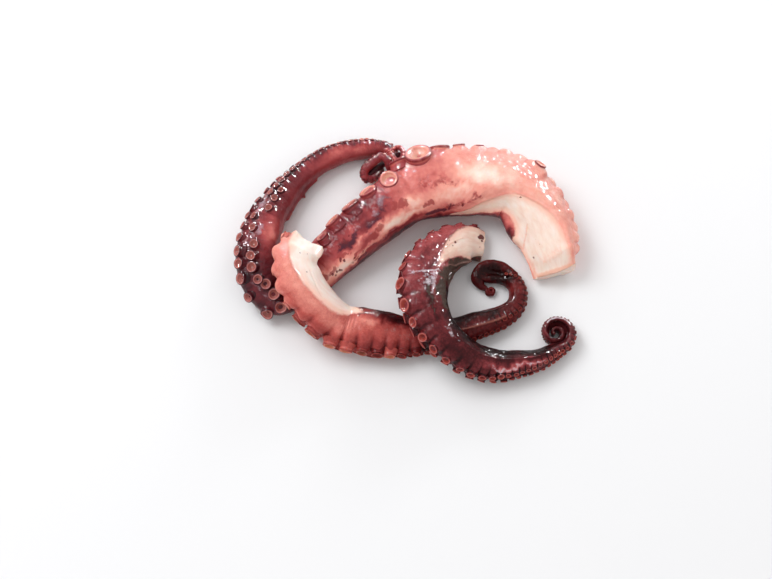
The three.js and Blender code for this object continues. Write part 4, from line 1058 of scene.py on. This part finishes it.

# the looks: colours of the skin from unpigmented to darkest, of the flesh and of the suckers from
# the middle over the rim to the foot; then the skin's roughness from and to, the relief of the
# skin and of its film in millimetres, and the weights of the scattered light and of the film.
# In the sucker ramps, the lighter band on the rim is partly the rim's own paler colour and partly
# a painted highlight. The dark ring at the rim's outer edge and just below it is partly the wall's
# own dark red and partly painted shade.
# salmon: thin pigment, so that the cream flesh shows through in patches
salmonLook = {
    "skin": [(0.0, "#FDEADE"), (0.16, "#FAD2C2"), (0.30, "#F0A595"), (0.44, "#D67870"),
             (0.58, "#AC4A4A"), (0.72, "#842F34"), (0.86, "#5A1C24"), (1.0, "#2C0A12")],
    "colours": {"blotchColour": "#A1403E", "bruiseColour": "#4C2030", "bloomColour": "#C2A6B0",
                "speckColour": "#8A3234", "seamColour": "#EFA98C", "skinSeam": "#D2907E",
                "spotColour": "#6E1E26", "fleshRim": "#F8BFAA"},
    "factors": [
        ("tone", "pigment", [("broad", 0.22), ("middle", 0.14), ("fine", 0.03)], 0, 1, 1),
        ("blotched", "blotch", [("middle", 0.7), ("fine", 0.45), ("grain", 0.2)], 0.34, 0.66, 0.8),
        ("bruised", "bruise", [("middle", 0.8), ("fine", 0.7), ("grain", 0.3)], 0.30, 0.75, 0.9),
        ("specked", "grain", [("middle", 0.5)], 0.66, 0.78, 0.15),
        ("bloomed", "bloom", [("middle", 0.7), ("fine", 0.6), ("grain", 0.5)], 0.25, 1.05, 0.7),
        ("rimmed", "cutEdge", [("middle", 1.4), ("broad", 1.6)], 2.6, 0.0, 0.85),
    ],
    "flesh": [(0.3, "#EFD0C0"), (0.5, "#F4DCCE"), (0.7, "#F7E4D9")],
    "cupPale": [(0.0, "#B87460"), (0.06, "#C4826C"), (0.14, "#D4927C"), (0.24, "#DC9C86"),
                (0.31, "#D08672"), (0.39, "#E2978A"), (0.43, "#C4706A"), (0.47, "#7C262E"),
                (0.60, "#84282C"), (0.75, "#BC5E58")],
    # the pale middle of these suckers is partly their own pink and partly a painted highlight
    "cupDeep": [(0.0, "#DCB2AA"), (0.05, "#B88078"), (0.11, "#985650"), (0.22, "#A05C54"),
                (0.30, "#94524C"), (0.355, "#B67872"), (0.40, "#A06460"), (0.44, "#4E1E28"),
                (0.55, "#2C0A12"), (0.66, "#4C141E")],
    "rough": (0.30, 0.50), "bump": 0.32, "film": 0.8, "soft": 0.30, "coat": 0.6,
}
# rose: paler at the cut and dark at the tip, nearly matt, with pale orange suckers
roseLook = {
    "skin": [(0.0, "#FCE6DA"), (0.16, "#F8CAB8"), (0.30, "#EFA494"), (0.44, "#DA8276"),
             (0.58, "#B8564F"), (0.72, "#8A3432"), (0.86, "#541416"), (1.0, "#200606")],
    "colours": {"blotchColour": "#B0504A", "bruiseColour": "#3C1216", "bloomColour": "#B99C96",
                "speckColour": "#742A2C", "seamColour": "#F4C8B4", "skinSeam": "#D8907E",
                "spotColour": "#7A3030", "fleshRim": "#FAC4B0"},
    "factors": [
        ("tone", "pigment", [("broad", 0.12), ("middle", 0.14), ("fine", 0.12)], 0, 1, 1),
        ("blotched", "blotch", [("middle", 0.7), ("fine", 0.45), ("grain", 0.2)], 0.40, 0.56, 0.7),
        ("bruised", "bruise", [("middle", 0.8), ("fine", 0.7), ("grain", 0.3)], 0.30, 0.75, 0.9),
        ("specked", "grain", [], 0.62, 0.70, 0.3),
        ("bloomed", "bloom", [("middle", 0.8), ("fine", 0.7), ("grain", 0.5)], 0.34, 0.95, 0.7),
        ("rimmed", "cutEdge", [("middle", 1.4), ("broad", 1.6)], 3.0, 0.0, 0.8),
    ],
    "flesh": [(0.3, "#F9DDD0"), (0.5, "#FCE7DC"), (0.7, "#FEEFE7")],
    # the rim band is partly a painted highlight, and the dark ring under the rim partly painted shade
    "cupPale": [(0.0, "#8E4A34"), (0.10, "#A8583C"), (0.24, "#B86A4A"), (0.33, "#C47658"),
                (0.39, "#D8907E"), (0.44, "#B0605A"), (0.50, "#8E3C38"), (0.60, "#A85048"),
                (0.75, "#C06A60")],
    "cupDeep": [(0.0, "#3E100E"), (0.10, "#581A16"), (0.24, "#68221C"), (0.33, "#742822"),
                (0.41, "#903E36"), (0.47, "#7A2824"), (0.54, "#260608"), (0.66, "#3E0E10")],
    "rough": (0.30, 0.50), "bump": 0.35, "film": 0.8, "soft": 0.28, "coat": 0.28,
}
# maroon: dense pigment, down to nearly black where the skin hangs loose
maroonLook = {
    "skin": [(0.0, "#F2D0C4"), (0.2, "#E2ACA0"), (0.36, "#CC8480"), (0.5, "#B46060"),
             (0.62, "#9C484A"), (0.74, "#782E32"), (0.86, "#461418"), (1.0, "#180507")],
    "colours": {"blotchColour": "#9C464C", "bruiseColour": "#4C4039", "bloomColour": "#CDBFC6",
                "speckColour": "#4A151C", "seamColour": "#E2AC98", "skinSeam": "#B08278",
                "spotColour": "#5E141C", "fleshRim": "#EDB8A6"},
    "factors": [
        ("tone", "pigment", [("broad", 0.14), ("middle", 0.18), ("fine", 0.14)], 0, 1, 1),
        ("blotched", "blotch", [("middle", 0.7), ("fine", 0.45), ("grain", 0.2)], 0.40, 0.56, 0.85),
        ("bruised", "bruise", [("middle", 0.5), ("fine", 0.4), ("grain", 0.2)], 0.30, 0.70, 0.95),
        ("specked", "grain", [], 0.58, 0.68, 0.5),
        ("bloomed", "bloom", [("middle", 0.9), ("fine", 0.9), ("grain", 0.5)], 0.34, 0.95, 0.85),
        ("rimmed", "cutEdge", [("middle", 1.4), ("broad", 1.6)], 2.4, 0.0, 0.7),
    ],
    "flesh": [(0.3, "#EBC8B6"), (0.5, "#F2D6C6"), (0.7, "#F7E2D5")],
    # the rim band is partly a painted highlight, and the dark ring under the rim partly painted shade
    "cupPale": [(0.0, "#8A3430"), (0.10, "#A44840"), (0.24, "#B4564C"), (0.33, "#AA4C48"),
                (0.40, "#B4645E"), (0.46, "#A4524E"), (0.54, "#64222A"), (0.60, "#7A2C34"),
                (0.75, "#8E3A40")],
    "cupDeep": [(0.0, "#6A1E1C"), (0.10, "#7E2A24"), (0.24, "#92382E"), (0.33, "#943E38"),
                (0.40, "#B4665E"), (0.46, "#9E4C4A"), (0.54, "#3E0C13"), (0.66, "#541820")],
    "rough": (0.28, 0.48), "bump": 0.35, "film": 0.8, "soft": 0.2, "coat": 0.3,
}

for arm in (longArm, middleArm, shortArm):
    arm["measure"] = measureArm(arm)
    arm["cups"] = cupList(arm)

# what the material reads on the tubes, unless their own fields say otherwise
blank = {"blotch": 0, "bruise": 0, "bloom": 0, "seam": 0, "spot": 0, "cutEdge": -20, "zone": 3}
for arm, look, name in ((longArm, salmonLook, "boiledSkinSalmon"), (middleArm, roseLook, "boiledSkinRose"),
                        (shortArm, maroonLook, "boiledSkinMaroon")):
    look["layers"] = [(under, look["colours"].get(over, over), factor, result)
                      for under, over, factor, result in layers]
    material = boiledSkin(name, look)
    body = armBody(arm, material)
    pieces = [body, armCups(arm, material)]
    if arm is longArm:
        for part, title in ((sideCurl, "tipRing"), (ringShadeCore, "ringShadeCore"), (loopShadeFill, "loopShadeFill")):
            pieces.append(tube(title, part["path"], part["radii"], part["columns"],
                               {**blank, **part["fields"]}, material, part.get("beads")))
    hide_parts(arm["node"])
    for piece in pieces:
        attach(piece, "root")
    print(arm["name"], "body points", len(body.data.vertices), "suckers", len(arm["cups"][0]))


def addStage():
    # plain pale floor, soft light from the upper left and a white surround
    half, under = 3.0, -0.0003
    mesh = bpy.data.meshes.new("floor")
    mesh.from_pydata([(x * half, y * half, under) for x, y in ((-1, -1), (1, -1), (1, 1), (-1, 1))],
                     [], [(0, 1, 2, 3)])
    floor = bpy.data.objects.new("floor", mesh)
    bpy.context.scene.collection.objects.link(floor)
    material = bpy.data.materials.new("matteWhiteTable")
    material.use_nodes = True
    shader = material.node_tree.nodes["Principled BSDF"]
    shader.inputs["Base Color"].default_value = linear("#E4E4E5")
    shader.inputs["Roughness"].default_value = 0.6
    mesh.materials.append(material)

    world = bpy.data.worlds.new("softSurround")
    bpy.context.scene.world = world
    world.use_nodes = True
    world.node_tree.nodes["Background"].inputs["Color"].default_value = (1.0, 0.985, 0.98, 1)
    world.node_tree.nodes["Background"].inputs["Strength"].default_value = 0.76
    # a soft key from the upper left, and two lamps behind that show in the highlights alone
    for name, place, size, power in (("keyLight", (-1.76, 1.10, 2.44), 1.8, 64.0),
                                     ("filmLightRight", (1.35, 2.5, 0.95), 0.6, 320.0),
                                     ("filmLightLeft", (-1.6, 2.3, 1.2), 0.45, 160.0)):
        lamp = bpy.data.lights.new(name, "AREA")
        lamp.shape = "SQUARE"
        lamp.size = size
        lamp.energy = power
        lamp.color = (0.965, 0.985, 1.0)
        holder = bpy.data.objects.new(name, lamp)
        holder.location = place
        holder.visible_diffuse = name == "keyLight"
        holder.rotation_euler = (Vector((0, 0, 0.01)) - Vector(place)).to_track_quat("-Z", "Y").to_euler()
        bpy.context.scene.collection.objects.link(holder)


def addCamera():
    # looks down at 70 degrees from the front; millimetres seen by a pixel set the lens
    view = {"elevation": 70, "distance": 1300, "aim": (-11.84, -20.77), "perPixel": 0.64, "wide": 772}
    lens = bpy.data.cameras.new("camera")
    lens.sensor_width = 36
    lens.lens = 36 * view["distance"] / (view["wide"] * view["perPixel"])
    lens.clip_start = 0.05
    lens.clip_end = 20
    camera = bpy.data.objects.new("camera", lens)
    aim = Vector([(view["aim"][0] + planShift[0]) * metre, (view["aim"][1] + planShift[1]) * metre, 0])
    tilt = math.radians(view["elevation"])
    back = Vector((0, -math.cos(tilt), math.sin(tilt))) * view["distance"] * metre
    camera.location = aim + back
    camera.rotation_euler = (-back).to_track_quat("-Z", "Y").to_euler()
    bpy.context.scene.collection.objects.link(camera)
    bpy.context.scene.camera = camera


addStage()
addCamera()
bpy.context.scene.view_settings.view_transform = "Standard"
bpy.context.scene.view_settings.look = "None"
